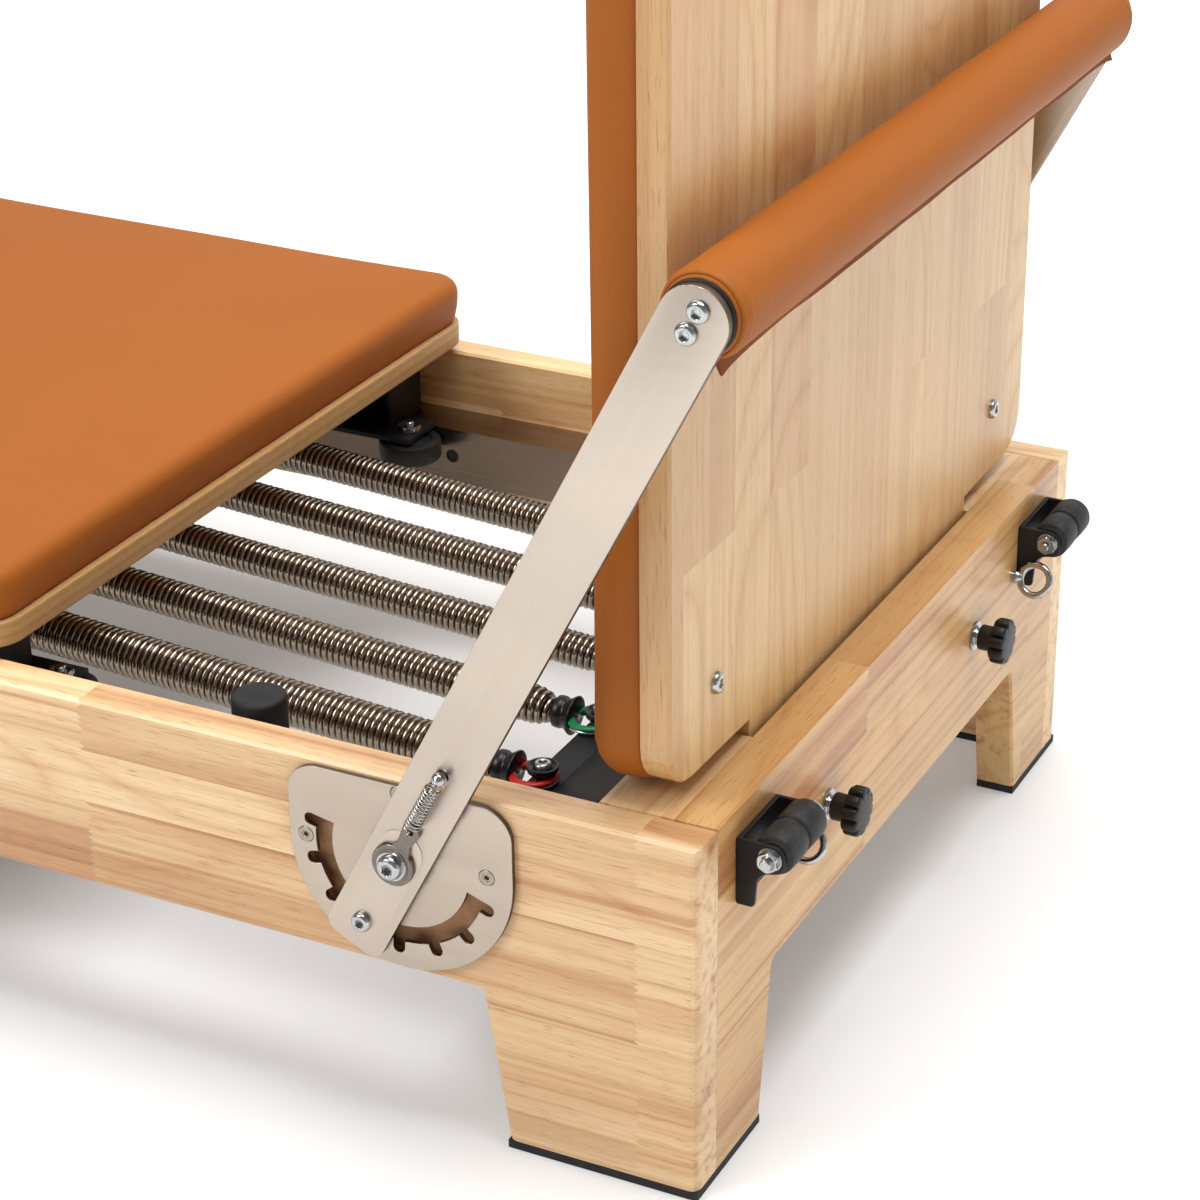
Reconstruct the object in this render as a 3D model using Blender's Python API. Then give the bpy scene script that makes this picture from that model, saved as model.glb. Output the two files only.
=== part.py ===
"""Folding pilates reformer with its jump board fitted and its foot bar raised.

Metres, +Z up, +X towards the foot end. The near side is -Y.
While the pieces are modelled, X is counted from the outer face of the foot end board,
so everything else lies at negative X. One empty then moves the machine over the origin.
"""
import math

import bmesh
import bpy
from mathutils import Vector

# Wooden frame
FRAME_LENGTH = 2.340
FRAME_WIDTH = 0.680
FRAME_TOP = 0.260
RAIL_HEIGHT = 0.143
RAIL_THICKNESS = 0.0285
END_THICKNESS = 0.030
MIDDLE_THICKNESS = 0.028
MIDDLE_HEIGHT = 0.042
LEG_SIDE_TOP = 0.1545
LEG_SIDE_FOOT = 0.137
LEG_END_TOP = 0.1145
LEG_END_FOOT = 0.0965
LEG_FILLET = 0.006
FOOT_PAD = 0.006
EDGE_ROUNDING = 0.006
EDGE_EASING = 0.002
GAP = 0.0003

# Inner plank and the socket of the jump board
PLANK_WIDTH = 0.053
PLANK_THICKNESS = 0.022
NOTCH_SLACK = 0.0015
BATTEN_THICKNESS = 0.020
SOCKET_DEPTH = 0.092

# Jump board
JUMP_SIDE_INSET = 0.030
JUMP_BOTTOM = 0.272
JUMP_HEIGHT = 0.600
JUMP_THICKNESS = 0.0207
JUMP_SETBACK = 0.003
JUMP_CORNER = 0.032
JUMP_TAB_INSET = 0.117
JUMP_PAD = 0.042
JUMP_PAD_CORNER = 0.036
PAD_CROWN = 0.004
JUMP_BOLT_INSET = 0.065
JUMP_BOLT_Z = 0.323

# Clamp knobs
KNOB_INSET = 0.202
KNOB_Z = 0.1885
STUD_RADIUS = 0.004
KNOB_RADIUS = 0.0195
KNOB_BOSS_RADIUS = 0.010
KNOB_BOSS_LENGTH = 0.0105
KNOB_LENGTH = 0.015
KNOB_LOBES = 8
KNOB_LOBE_DEPTH = 0.0045
WASHER_RADIUS = 0.011
WASHER_THICKNESS = 0.0015

# Eye bolts
EYE_INSET = 0.125
EYE_Z = 0.204
EYE_REACH = 0.0185
EYE_RADIUS = 0.01225
EYE_WIRE = 0.00225
EYE_TURN = math.radians(25)

# Transport rollers on the foot end
ROLLER_INSET = 0.085
ROLLER_AXIS_X = 0.024
ROLLER_AXIS_Z = 0.232
ROLLER_RADIUS = 0.014
BRACKET_HALF = 0.031
BRACKET_BOTTOM = 0.1936
BRACKET_TOP = 0.241
BRACKET_PLATE = 0.003
BRACKET_DEPTH = 0.013
BRACKET_EAR = 0.0095
ROLLER_BOLT_RADIUS = 0.004
ROLLER_BOLT_END = 0.008

# Quadrant plate, latch and foot bar
PIVOT_X = -0.208
PIVOT_Z = 0.204
PLATE_THICKNESS = 0.004
PLATE_RADIUS = 0.0815
PLATE_TOP = 0.0525
PLATE_CORNER = 0.022
CHANNEL_INNER = 0.050
CHANNEL_OUTER = 0.062
NOTCH_REACH = 0.0712
NOTCH_WIDTH = 0.0086
NOTCH_STEP = math.radians(24.5)
NOTCHES_BACK = 4
NOTCHES_FRONT = 3
POCKET_DEPTH = 0.008
POCKET_MARGIN = 0.004
PIVOT_STUD = 0.006
SLEEVE_RADIUS = 0.008
SLEEVE_LENGTH = 0.020
RUNNING_GAP = 0.0003
ROLL_CLEARANCE = 0.006
ARM_LENGTH = 0.452
ARM_WIDTH = 0.044
ARM_THICKNESS = 0.006
ARM_STANDOFF = 0.001
ARM_LOWER_END = 0.077
ARM_CORNER = 0.010
LATCH_TRAVEL = 0.010
LOCK_PIN_REACH = 0.0564
LOCK_PIN_RADIUS = 0.004
BUSH_RADIUS = 0.015
LINK_THICKNESS = 0.0025
LUG_REACH = 0.031
LUG_RADIUS = 0.006
LUG_HOLE = 0.002
WINDOW_START = 0.045
WINDOW_WIDTH = 0.009
SPRING_PIN_REACH = 0.081
SPRING_BALL = 0.005
HEAD_SMALL = 0.007
HEAD_PIVOT = 0.00875
BAR_BOLT_PITCH = 0.016
ROLL_RADIUS = 0.0277
BAR_TUBE_RADIUS = 0.016
BAR_FLANGE_RADIUS = 0.0235
BAR_FLANGE = 0.003

# Return springs of the latch
RETURN_RADIUS = 0.0035
RETURN_WIRE = 0.0006
RETURN_CURLS = 4

# Springs, spring bar and posts
SPRING_SIDE_INSET = 0.165
SPRING_COUNT = 5
BAR_PLATE = 0.003
BAR_LIP_Z = 0.176
BAR_LIP_FRONT = 0.206
BAR_FOLD = 0.183
BAR_SLOPE_TOP = 0.098
POST_X = -0.1948
POST_RADIUS = 0.005
POST_CAP_RADIUS = 0.013
POST_CAP_HEIGHT = 0.006
RING_RADIUS = 0.0135
RING_WIRE = 0.0035
HANDLE_LENGTH = 0.021
HANDLE_START = 0.212
HANDLE_SLIM = 0.009
HANDLE_WIDE = 0.015
SPRING_SLOPE = 0.062
SPRING_START = 0.239
SPRING_WIRE = 0.0024
SPRING_CURLS = 7
SPRING_RADII = (0.0168, 0.0143, 0.0134, 0.0140, 0.0140)
HOOK_X = -0.715
HOOK_BAR = 0.004

# Tracks and stoppers
TRACK_LEDGE_Z = 0.208
TRACK_INSET = 0.070
TRACK_DROP = 0.048
TRACK_THICKNESS = 0.0025
TRACK_START = 0.100
TRACK_HOLE_X = 0.515
TRACK_HOLE_RADIUS = 0.006
STOPPER_X = 0.343
STOPPER_RADIUS = 0.0185
STOPPER_TOP = 0.266

# Carriage
CARRIAGE_FOOT = 0.525
CARRIAGE_LENGTH = 0.760
CARRIAGE_SIDE_INSET = 0.014
CARRIAGE_BOTTOM = 0.270
CARRIAGE_BOARD = 0.018
CARRIAGE_CORNER = 0.028
CARRIAGE_PAD_LENGTH = 0.515
CARRIAGE_PAD = 0.037
WHEEL_RADIUS = 0.029
WHEEL_WIDTH = 0.020
WHEEL_INSET = 0.072
GUIDE_RADIUS = 0.026
GUIDE_WIDTH = 0.017
GUIDE_TOP = 0.206
GUIDE_INSET = 0.015
AXLE_RADIUS = 0.005
CHASSIS_DEPTH = 0.043
CHASSIS_CLEARANCE = 0.002
CHASSIS_PLATE = 0.004
CHASSIS_WEB_DEPTH = 0.022
CHASSIS_WEB_REACH = 0.028
CHASSIS_WEB_SETBACK = 0.020
CROSS_DEPTH = 0.018
CROSS_WIDTH = 0.030

# Shoulder rests and headrest
REST_X = 1.105
REST_INSET = 0.155
REST_WIDTH = 0.110
REST_DEPTH = 0.056
REST_HEIGHT = 0.120
HEADREST_WIDTH = 0.200
HEADREST_FRONT = 1.080
HEADREST_LENGTH = 0.200
HEADREST_THICKNESS = 0.042
HEADREST_HINGE_RADIUS = 0.005

# Pulleys at the head end
PULLEY_INSET = 0.175
PULLEY_Z = 0.405
PULLEY_RADIUS = 0.028
PULLEY_GROOVE = 0.007
PULLEY_WIDTH = 0.016
RISER_WIDTH = 0.032
RISER_PLATE = 0.005
RISER_FOOT = 0.225

# Fold hinge
HINGE_RADIUS = 0.004
HINGE_PIN = 0.002
HINGE_LEAF = 0.0025
HINGE_WIDTH = 0.045
HINGE_INSET = 0.010
HINGE_KNUCKLES = 5

# Places that follow from the sizes above
HALF_WIDTH = FRAME_WIDTH / 2
JUMP_WIDTH = FRAME_WIDTH - JUMP_SIDE_INSET * 2
JUMP_TAB_WIDTH = JUMP_WIDTH - JUMP_TAB_INSET * 2
JUMP_BOLT_Y = JUMP_WIDTH / 2 - JUMP_BOLT_INSET
KNOB_Y = HALF_WIDTH - KNOB_INSET
EYE_Y = HALF_WIDTH - EYE_INSET
ROLLER_Y = HALF_WIDTH - ROLLER_INSET
SPRING_PITCH_Y = (FRAME_WIDTH - SPRING_SIDE_INSET * 2) / (SPRING_COUNT - 1)
TRACK_INNER = HALF_WIDTH - TRACK_INSET
CARRIAGE_WIDTH = FRAME_WIDTH - CARRIAGE_SIDE_INSET * 2
CHASSIS_OUTER = TRACK_INNER - CHASSIS_CLEARANCE
CHASSIS_INNER = CHASSIS_OUTER - CHASSIS_DEPTH
CHASSIS_WEB_INNER = TRACK_INNER - CHASSIS_WEB_DEPTH
CHASSIS_WEB_OUTER = TRACK_INNER + CHASSIS_WEB_REACH
REST_Y = HALF_WIDTH - REST_INSET
PULLEY_Y = HALF_WIDTH - PULLEY_INSET
HINGE_LENGTH = FRAME_WIDTH - HINGE_INSET * 2
RAIL_INNER = HALF_WIDTH - RAIL_THICKNESS
RAIL_BOTTOM = FRAME_TOP - RAIL_HEIGHT
LEG_BOTTOM = FOOT_PAD + GAP
FOLD_X = -FRAME_LENGTH / 2
JUMP_FACE = -END_THICKNESS - JUMP_SETBACK
JUMP_BACK = JUMP_FACE - JUMP_THICKNESS
ARM_ANGLE = math.acos((JUMP_FACE + ROLL_RADIUS + ROLL_CLEARANCE - PIVOT_X) / ARM_LENGTH)
PLANK_BACK = -END_THICKNESS - PLANK_WIDTH
PLANK_BOTTOM = FRAME_TOP - PLANK_THICKNESS
TAB_BOTTOM = FRAME_TOP - SOCKET_DEPTH
PLATE_FACE = HALF_WIDTH + GAP + PLATE_THICKNESS
ARM_INNER = PLATE_FACE + ARM_STANDOFF
ARM_OUTER = ARM_INNER + ARM_THICKNESS
LINK_OUTER = ARM_OUTER + GAP + LINK_THICKNESS
CARRIAGE_TOP = CARRIAGE_BOTTOM + CARRIAGE_BOARD
CARRIAGE_HEAD = -CARRIAGE_FOOT - CARRIAGE_LENGTH
RING_Z = BAR_LIP_Z + GAP + RING_WIRE
RING_X = POST_X + POST_RADIUS - (RING_RADIUS - RING_WIRE) + GAP
HINGE_Z = RAIL_BOTTOM - GAP - HINGE_RADIUS
GUIDE_Y = TRACK_INNER - GAP - GUIDE_RADIUS
MACHINE_REACH = ROLLER_AXIS_X + ROLLER_RADIUS

for leftover in list(bpy.data.objects):
    bpy.data.objects.remove(leftover)

machine = bpy.data.objects.new("machine", None)
machine.location.x = (FRAME_LENGTH - MACHINE_REACH) / 2
bpy.context.scene.collection.objects.link(machine)


def finish(name, colour, roughness, metallic=0.0):
    """A Principled material; the colour is linear."""
    material = bpy.data.materials.new(name)
    material.use_nodes = True
    shader = material.node_tree.nodes["Principled BSDF"]
    shader.inputs["Base Color"].default_value = (*colour, 1.0)
    shader.inputs["Roughness"].default_value = roughness
    shader.inputs["Metallic"].default_value = metallic
    return material


RUBBERWOOD = finish("rubberwood", (0.72, 0.47, 0.25), 0.45)
PLYWOOD = finish("plywood", (0.45, 0.27, 0.12), 0.55)
LEATHER = finish("leather", (0.52, 0.18, 0.05), 0.5)
STEEL = finish("brushed_steel", (0.60, 0.52, 0.45), 0.35, 1.0)
SPRING_STEEL = finish("spring_steel", (0.35, 0.31, 0.27), 0.25, 1.0)
BLACK_METAL = finish("black_metal", (0.012, 0.012, 0.013), 0.45, 0.3)
BLACK_RUBBER = finish("black_rubber", (0.015, 0.015, 0.016), 0.7)
BLACK_PLASTIC = finish("black_plastic", (0.012, 0.012, 0.013), 0.4)


# Drawing

def both_sides():
    """Each side's name and the sign of its Y."""
    return ("near", -1), ("far", 1)


def at(plane, u, v, w):
    """A point from its two places in a plane and its place along the plane's normal."""
    return Vector({"X": (w, u, v), "Y": (u, w, v), "Z": (u, v, w)}[plane])


def arc(centre, radius, start, end, steps):
    """Points along an arc, both ends included."""
    turn = (end - start) / steps
    return [(centre[0] + radius * math.cos(start + turn * i),
             centre[1] + radius * math.sin(start + turn * i)) for i in range(steps + 1)]


def rounded(corners, steps=4):
    """An outline from (u, v, radius) corners, each with its fillet."""
    outline = []
    for i, (u, v, radius) in enumerate(corners):
        here = Vector((u, v))
        if radius <= 0:
            outline.append((u, v))
            continue
        before = (Vector(corners[i - 1][:2]) - here).normalized()
        after = (Vector(corners[(i + 1) % len(corners)][:2]) - here).normalized()
        half = before.angle(after) / 2
        reach = radius / math.tan(half)
        centre = here + (before + after).normalized() * radius / math.sin(half)
        first, last = here + before * reach - centre, here + after * reach - centre
        begin = math.atan2(first.y, first.x)
        sweep = (math.atan2(last.y, last.x) - begin + math.pi) % math.tau - math.pi
        outline += arc(centre, radius, begin, begin + sweep, steps)
    return outline


def rectangle(low, high, radius=0.0, steps=4):
    return rounded([(low[0], low[1], radius), (high[0], low[1], radius),
                    (high[0], high[1], radius), (low[0], high[1], radius)], steps)


def capsule(start, end, radius, steps=8):
    """A slot's outline along u, with round ends."""
    return (arc((end, 0.0), radius, -math.pi / 2, math.pi / 2, steps)
            + arc((start, 0.0), radius, math.pi / 2, math.pi * 1.5, steps))


def turned_outline(outline, angle, centre):
    """An outline turned about a point, which becomes the place of its own origin."""
    c, s = math.cos(angle), math.sin(angle)
    return [(centre[0] + u * c - v * s, centre[1] + u * s + v * c) for u, v in outline]


# Solids

def solid(bm):
    bmesh.ops.remove_doubles(bm, verts=bm.verts, dist=1e-6)
    bmesh.ops.recalc_face_normals(bm, faces=bm.faces)
    mesh = bpy.data.meshes.new("solid")
    bm.to_mesh(mesh)
    bm.free()
    shape = bpy.data.objects.new("solid", mesh)
    bpy.context.scene.collection.objects.link(shape)
    return shape


def lofted(plane, layers):
    """Closed solid through outlines of equal point counts: [(outline, place along normal)]."""
    bm = bmesh.new()
    rings = [[bm.verts.new(at(plane, u, v, place)) for u, v in outline] for outline, place in layers]
    for lower, upper in zip(rings, rings[1:]):
        for i in range(len(lower)):
            j = (i + 1) % len(lower)
            bm.faces.new((lower[i], lower[j], upper[j], upper[i]))
    bm.faces.new(rings[0])
    bm.faces.new(rings[-1])
    return solid(bm)


def extruded(plane, outline, low, high):
    return lofted(plane, [(outline, low), (outline, high)])


def box(low, high):
    return extruded("Z", rectangle(low[:2], high[:2]), low[2], high[2])


def turned(plane, centre, profile, steps=16):
    """A turned solid. The profile holds (radius, place along the plane's normal)."""
    bm = bmesh.new()
    verts = [bm.verts.new(at(plane, centre[0] + radius, centre[1], place)) for radius, place in profile]
    hollow = profile[0][0] > 0
    edges = [bm.edges.new(pair) for pair in zip(verts, verts[1:])]
    if hollow:
        edges.append(bm.edges.new((verts[-1], verts[0])))
    bmesh.ops.spin(bm, geom=verts + edges, cent=at(plane, *centre, 0.0), axis=at(plane, 0, 0, 1),
                   angle=math.tau, steps=steps, use_merge=True)
    return solid(bm)


def rod(plane, centre, radius, low, high, steps=12):
    return turned(plane, centre, [(0, low), (radius, low), (radius, high), (0, high)], steps)


def button_head(radius, low, high, side):
    """Profile of a domed bolt head that stands out from low to high along the normal."""
    return [(0, side * low), (radius, side * low), (radius, side * (low + (high - low) * 0.35)),
            (radius * 0.65, side * high), (0, side * high)]


def tube(points, radius):
    """A round wire along points, closed by its caps."""
    curve = bpy.data.curves.new("wire", "CURVE")
    curve.dimensions = "3D"
    curve.bevel_depth = radius
    curve.bevel_resolution = 1
    curve.use_fill_caps = True
    spline = curve.splines.new("POLY")
    spline.points.add(len(points) - 1)
    for knot, point in zip(spline.points, points):
        knot.co = (*point, 1.0)
    wire = bpy.data.objects.new("wire", curve)
    bpy.context.scene.collection.objects.link(wire)
    graph = bpy.context.evaluated_depsgraph_get()
    mesh = bpy.data.meshes.new_from_object(wire.evaluated_get(graph))
    bm = bmesh.new()
    bm.from_mesh(mesh)
    bpy.data.objects.remove(wire)
    bpy.data.meshes.remove(mesh)
    return solid(bm)


def combine(target, tools, operation):
    for tool in tools:
        step = target.modifiers.new("fit", "BOOLEAN")
        step.operation = operation
        step.object = tool
        graph = bpy.context.evaluated_depsgraph_get()
        mesh = bpy.data.meshes.new_from_object(target.evaluated_get(graph))
        target.modifiers.clear()
        target.data = mesh
        bpy.data.objects.remove(tool)
    return target


def united(target, *tools):
    return combine(target, tools, "UNION")


def cut(target, *tools):
    return combine(target, tools, "DIFFERENCE")


def eased(shape, width, segments, chosen):
    """Rounds the edges whose middle and direction the test chooses."""
    bm = bmesh.new()
    bm.from_mesh(shape.data)
    edges = [edge for edge in bm.edges
             if len(edge.link_faces) == 2 and edge.calc_face_angle() > math.radians(30)
             and chosen(*[vert.co for vert in edge.verts])]
    bmesh.ops.bevel(bm, geom=edges, offset=width, segments=segments, profile=0.5, affect="EDGES",
                    clamp_overlap=True)
    bmesh.ops.remove_doubles(bm, verts=bm.verts, dist=1e-6)
    bm.to_mesh(shape.data)
    bm.free()
    return shape


def piece(name, shape, material, axis_point=None):
    """Names a finished solid and hangs it on the machine, its origin on its joint's axis."""
    shape.name = name
    shape.data.name = name
    shape.data.materials.clear()
    shape.data.materials.append(material)
    shape.data.shade_smooth()
    shape.data.set_sharp_from_angle(angle=math.radians(38))
    if axis_point:
        for vert in shape.data.vertices:
            vert.co -= Vector(axis_point)
        shape.location = axis_point
    shape.parent = machine
    return shape


def cushion_layers(outline_of, low, high, crown, drawn_in):
    """Layers of a pad: drawn in at its back, full at mid height, crowned on top."""
    rise = high - low
    steps = [(drawn_in, 0.0), (0.0, rise * 0.3), (0.0, rise * 0.62), (rise * 0.07, rise * 0.86),
             (rise * 0.28, rise), (rise * 1.6, rise + crown * 0.7), (rise * 3.2, rise + crown)]
    return [(outline_of(inset), low + height) for inset, height in steps]


# Frame

def rail_outline(end, direction):
    """Side board with its half leg; direction points from the end board to the fold."""
    fold = FOLD_X - direction * GAP / 2
    return rounded([(end, LEG_BOTTOM, 0), (end, FRAME_TOP, 0), (fold, FRAME_TOP, 0),
                    (fold, RAIL_BOTTOM, 0), (end + direction * LEG_SIDE_TOP, RAIL_BOTTOM, LEG_FILLET),
                    (end + direction * LEG_SIDE_FOOT, LEG_BOTTOM, 0)])


def rail(end, direction, side):
    inner, outer = side * RAIL_INNER, side * HALF_WIDTH
    board = extruded("Y", rail_outline(end, direction), min(inner, outer), max(inner, outer))

    def outer_edge(a, b):
        level = abs(a.z - LEG_BOTTOM) < GAP and abs(b.z - LEG_BOTTOM) < GAP
        fold = abs(a.x - FOLD_X) < GAP and abs(b.x - FOLD_X) < GAP
        return abs(a.y - outer) < GAP and abs(b.y - outer) < GAP and not level and not fold

    def top_inner_edge(a, b):
        return abs(a.y - inner) < GAP and abs(b.y - inner) < GAP and min(a.z, b.z) > FRAME_TOP - GAP

    eased(board, EDGE_ROUNDING, 3, outer_edge)
    return eased(board, EDGE_EASING, 1, top_inner_edge)


def latch_pocket(side):
    """Ring sector routed behind the channel, and the bore of the pivot sleeve."""
    first = ARM_ANGLE + math.pi - NOTCH_STEP * (NOTCHES_FRONT + 0.35)
    last = ARM_ANGLE + math.pi + NOTCH_STEP * (NOTCHES_BACK + 0.35)
    pivot = (PIVOT_X, PIVOT_Z)
    outline = (arc(pivot, NOTCH_REACH + POCKET_MARGIN, first, last, 14)
               + arc(pivot, CHANNEL_INNER - POCKET_MARGIN, last, first, 14))
    floor, mouth = side * (HALF_WIDTH - POCKET_DEPTH), side * (HALF_WIDTH + POCKET_DEPTH)
    sector = extruded("Y", outline, min(floor, mouth), max(floor, mouth))
    bottom = side * (HALF_WIDTH - SLEEVE_LENGTH - GAP)
    bore = rod("Y", pivot, SLEEVE_RADIUS + GAP, min(bottom, mouth), max(bottom, mouth))
    return sector, bore


def end_board(end, direction):
    """End board with its two half legs, between the rails."""
    half, leg_top, leg_foot = RAIL_INNER - GAP, HALF_WIDTH - LEG_END_TOP, HALF_WIDTH - LEG_END_FOOT
    outline = rounded([(-half, FRAME_TOP, 0), (-half, LEG_BOTTOM, 0), (-leg_foot, LEG_BOTTOM, 0),
                       (-leg_top, RAIL_BOTTOM, LEG_FILLET), (leg_top, RAIL_BOTTOM, LEG_FILLET),
                       (leg_foot, LEG_BOTTOM, 0), (half, LEG_BOTTOM, 0), (half, FRAME_TOP, 0)])
    inner = end + direction * END_THICKNESS
    board = extruded("X", outline, min(end, inner), max(end, inner))

    def outer_edge(a, b):
        on_face = abs(a.x - end) < GAP and abs(b.x - end) < GAP
        floor = max(a.z, b.z) < LEG_BOTTOM + GAP
        beside_rail = min(abs(a.y), abs(b.y)) > half - GAP
        return on_face and not floor and not beside_rail

    return eased(board, EDGE_EASING, 1, outer_edge)


def eye_bolt(side):
    """Screw eye: shank and ring, the ring turned about the shank."""
    ring = []
    for i in range(12):
        turn = math.tau * i / 12
        radial = EYE_RADIUS * math.sin(turn)
        ring.append(Vector((EYE_REACH - EYE_RADIUS * math.cos(turn),
                            side * EYE_Y + radial * math.sin(EYE_TURN), EYE_Z + radial * math.cos(EYE_TURN))))
    bm = bmesh.new()
    normal = Vector((0, math.cos(EYE_TURN), -math.sin(EYE_TURN)))
    centre = Vector((EYE_REACH, side * EYE_Y, EYE_Z))
    loops = []
    for point in ring:
        out = (point - centre).normalized()
        loops.append([bm.verts.new(point + EYE_WIRE * (out * math.cos(math.tau * k / 6)
                                                        + normal * math.sin(math.tau * k / 6)))
                      for k in range(6)])
    for i, loop in enumerate(loops):
        following = loops[(i + 1) % len(loops)]
        for k in range(6):
            j = (k + 1) % 6
            bm.faces.new((loop[k], loop[j], following[j], following[k]))
    shank = rod("X", (side * EYE_Y, EYE_Z), EYE_WIRE * 1.4, -END_THICKNESS / 2,
                EYE_REACH - EYE_RADIUS + EYE_WIRE / 2, 8)
    return united(solid(bm), shank)


def make_frame():
    foot_board = end_board(0.0, -1)
    for _, side in both_sides():
        cut(foot_board, rod("X", (side * KNOB_Y, KNOB_Z), STUD_RADIUS + GAP, -END_THICKNESS * 2,
                            END_THICKNESS))
        united(foot_board, eye_bolt(side))
    piece("foot_end_board", foot_board, RUBBERWOOD)
    piece("head_end_board", end_board(-FRAME_LENGTH, 1), RUBBERWOOD)
    for label, side in both_sides():
        foot_rail = cut(rail(0.0, -1, side), *latch_pocket(side))
        piece("foot_rail_" + label, foot_rail, RUBBERWOOD)
        piece("head_rail_" + label, rail(-FRAME_LENGTH, 1, side), RUBBERWOOD)
        for end_name, end, direction in (("foot", 0.0, -1), ("head", -FRAME_LENGTH, 1)):
            piece(end_name + "_pad_" + label, leg_pad(end, direction, side), BLACK_RUBBER)
    for name, direction in (("foot", 1), ("head", -1)):
        near_face = FOLD_X + direction * GAP / 2
        far_face = near_face + direction * MIDDLE_THICKNESS
        half = RAIL_INNER - GAP
        board = box((min(near_face, far_face), -half, RAIL_BOTTOM),
                    (max(near_face, far_face), half, RAIL_BOTTOM + MIDDLE_HEIGHT))
        piece(name + "_middle_board", board, RUBBERWOOD)


def leg_pad(end, direction, side):
    """L-shaped rubber pad under the half leg of a rail and that of an end board."""
    def out(along, across):
        return (end + direction * along, side * across)
    outline = [out(0, HALF_WIDTH), out(LEG_SIDE_FOOT, HALF_WIDTH), out(LEG_SIDE_FOOT, RAIL_INNER),
               out(END_THICKNESS, RAIL_INNER), out(END_THICKNESS, HALF_WIDTH - LEG_END_FOOT),
               out(0, HALF_WIDTH - LEG_END_FOOT)]
    return extruded("Z", outline, 0.0, FOOT_PAD)


def make_plank():
    """Inner plank notched for the jump board's tab, with the socket batten under it."""
    front, back = -END_THICKNESS - GAP, PLANK_BACK
    notch = JUMP_TAB_WIDTH / 2 + NOTCH_SLACK
    notch_back = JUMP_BACK - NOTCH_SLACK / 3
    half = RAIL_INNER - GAP
    outline = [(front, half), (back, half), (back, -half), (front, -half), (front, -notch),
               (notch_back, -notch), (notch_back, notch), (front, notch)]
    plank = extruded("Z", outline, PLANK_BOTTOM, FRAME_TOP)

    def inner_top_edge(a, b):
        return abs(a.x - back) < GAP and abs(b.x - back) < GAP and min(a.z, b.z) > FRAME_TOP - GAP

    eased(plank, EDGE_EASING, 1, inner_top_edge)
    batten = box((notch_back - BATTEN_THICKNESS, -notch, TAB_BOTTOM),
                 (notch_back, notch, PLANK_BOTTOM + EDGE_EASING))
    piece("foot_plank", united(plank, batten), RUBBERWOOD)


# Jump board

def make_jump_board():
    half, top = JUMP_WIDTH / 2, JUMP_BOTTOM + JUMP_HEIGHT
    tab = JUMP_TAB_WIDTH / 2
    outline = rounded([(-half, top, JUMP_CORNER), (-half, JUMP_BOTTOM, JUMP_CORNER),
                       (-tab, JUMP_BOTTOM, 0), (-tab, TAB_BOTTOM, 0), (tab, TAB_BOTTOM, 0),
                       (tab, JUMP_BOTTOM, 0), (half, JUMP_BOTTOM, JUMP_CORNER),
                       (half, top, JUMP_CORNER)], 6)
    board = extruded("X", outline, JUMP_BACK, JUMP_FACE)

    def front_edge(a, b):
        return min(a.x, b.x) > JUMP_FACE - GAP and min(a.z, b.z) > JUMP_BOTTOM - GAP

    eased(board, EDGE_EASING, 1, front_edge)
    for _, side in both_sides():
        head = button_head(HEAD_SMALL, JUMP_FACE - EDGE_EASING, JUMP_FACE + EDGE_EASING, 1)
        united(board, turned("X", (side * JUMP_BOLT_Y, JUMP_BOLT_Z), head, 10))
    piece("jump_board", board, RUBBERWOOD)

    def pad_outline(inset):
        return rectangle((-half + inset, JUMP_BOTTOM + inset), (half - inset, top - inset),
                         max(JUMP_PAD_CORNER - inset, 0.004), 5)
    layers = cushion_layers(pad_outline, 0.0, JUMP_PAD - PAD_CROWN, PAD_CROWN, 0.003)
    layers = [(outline, JUMP_BACK - GAP - place) for outline, place in layers]
    piece("jump_board_pad", lofted("X", layers), LEATHER)


def make_clamp_knobs():
    boss_start = WASHER_THICKNESS + GAP
    head_start = boss_start + KNOB_BOSS_LENGTH
    for label, side in both_sides():
        centre = (side * KNOB_Y, KNOB_Z)
        profile = [(0, JUMP_FACE + GAP), (STUD_RADIUS, JUMP_FACE + GAP), (STUD_RADIUS, GAP),
                   (WASHER_RADIUS, GAP), (WASHER_RADIUS, boss_start), (KNOB_BOSS_RADIUS, boss_start),
                   (KNOB_BOSS_RADIUS, head_start + EDGE_EASING), (0, head_start + EDGE_EASING)]
        shaft = turned("X", centre, profile, 12)
        middle = KNOB_RADIUS - KNOB_LOBE_DEPTH / 2
        points = KNOB_LOBES * 5
        lobes = []
        for i in range(points):
            turn = math.tau * i / points
            radius = middle + KNOB_LOBE_DEPTH / 2 * math.cos(KNOB_LOBES * turn)
            lobes.append((radius * math.cos(turn), radius * math.sin(turn)))

        def scaled(share):
            return [(centre[0] + u * share, centre[1] + v * share) for u, v in lobes]
        head = lofted("X", [(scaled(0.93), head_start), (scaled(1.0), head_start + EDGE_EASING),
                            (scaled(1.0), head_start + KNOB_LENGTH - EDGE_EASING),
                            (scaled(0.88), head_start + KNOB_LENGTH)])
        piece("clamp_knob_" + label, united(head, shaft), BLACK_PLASTIC, (GAP, *centre))


# Transport rollers

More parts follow.
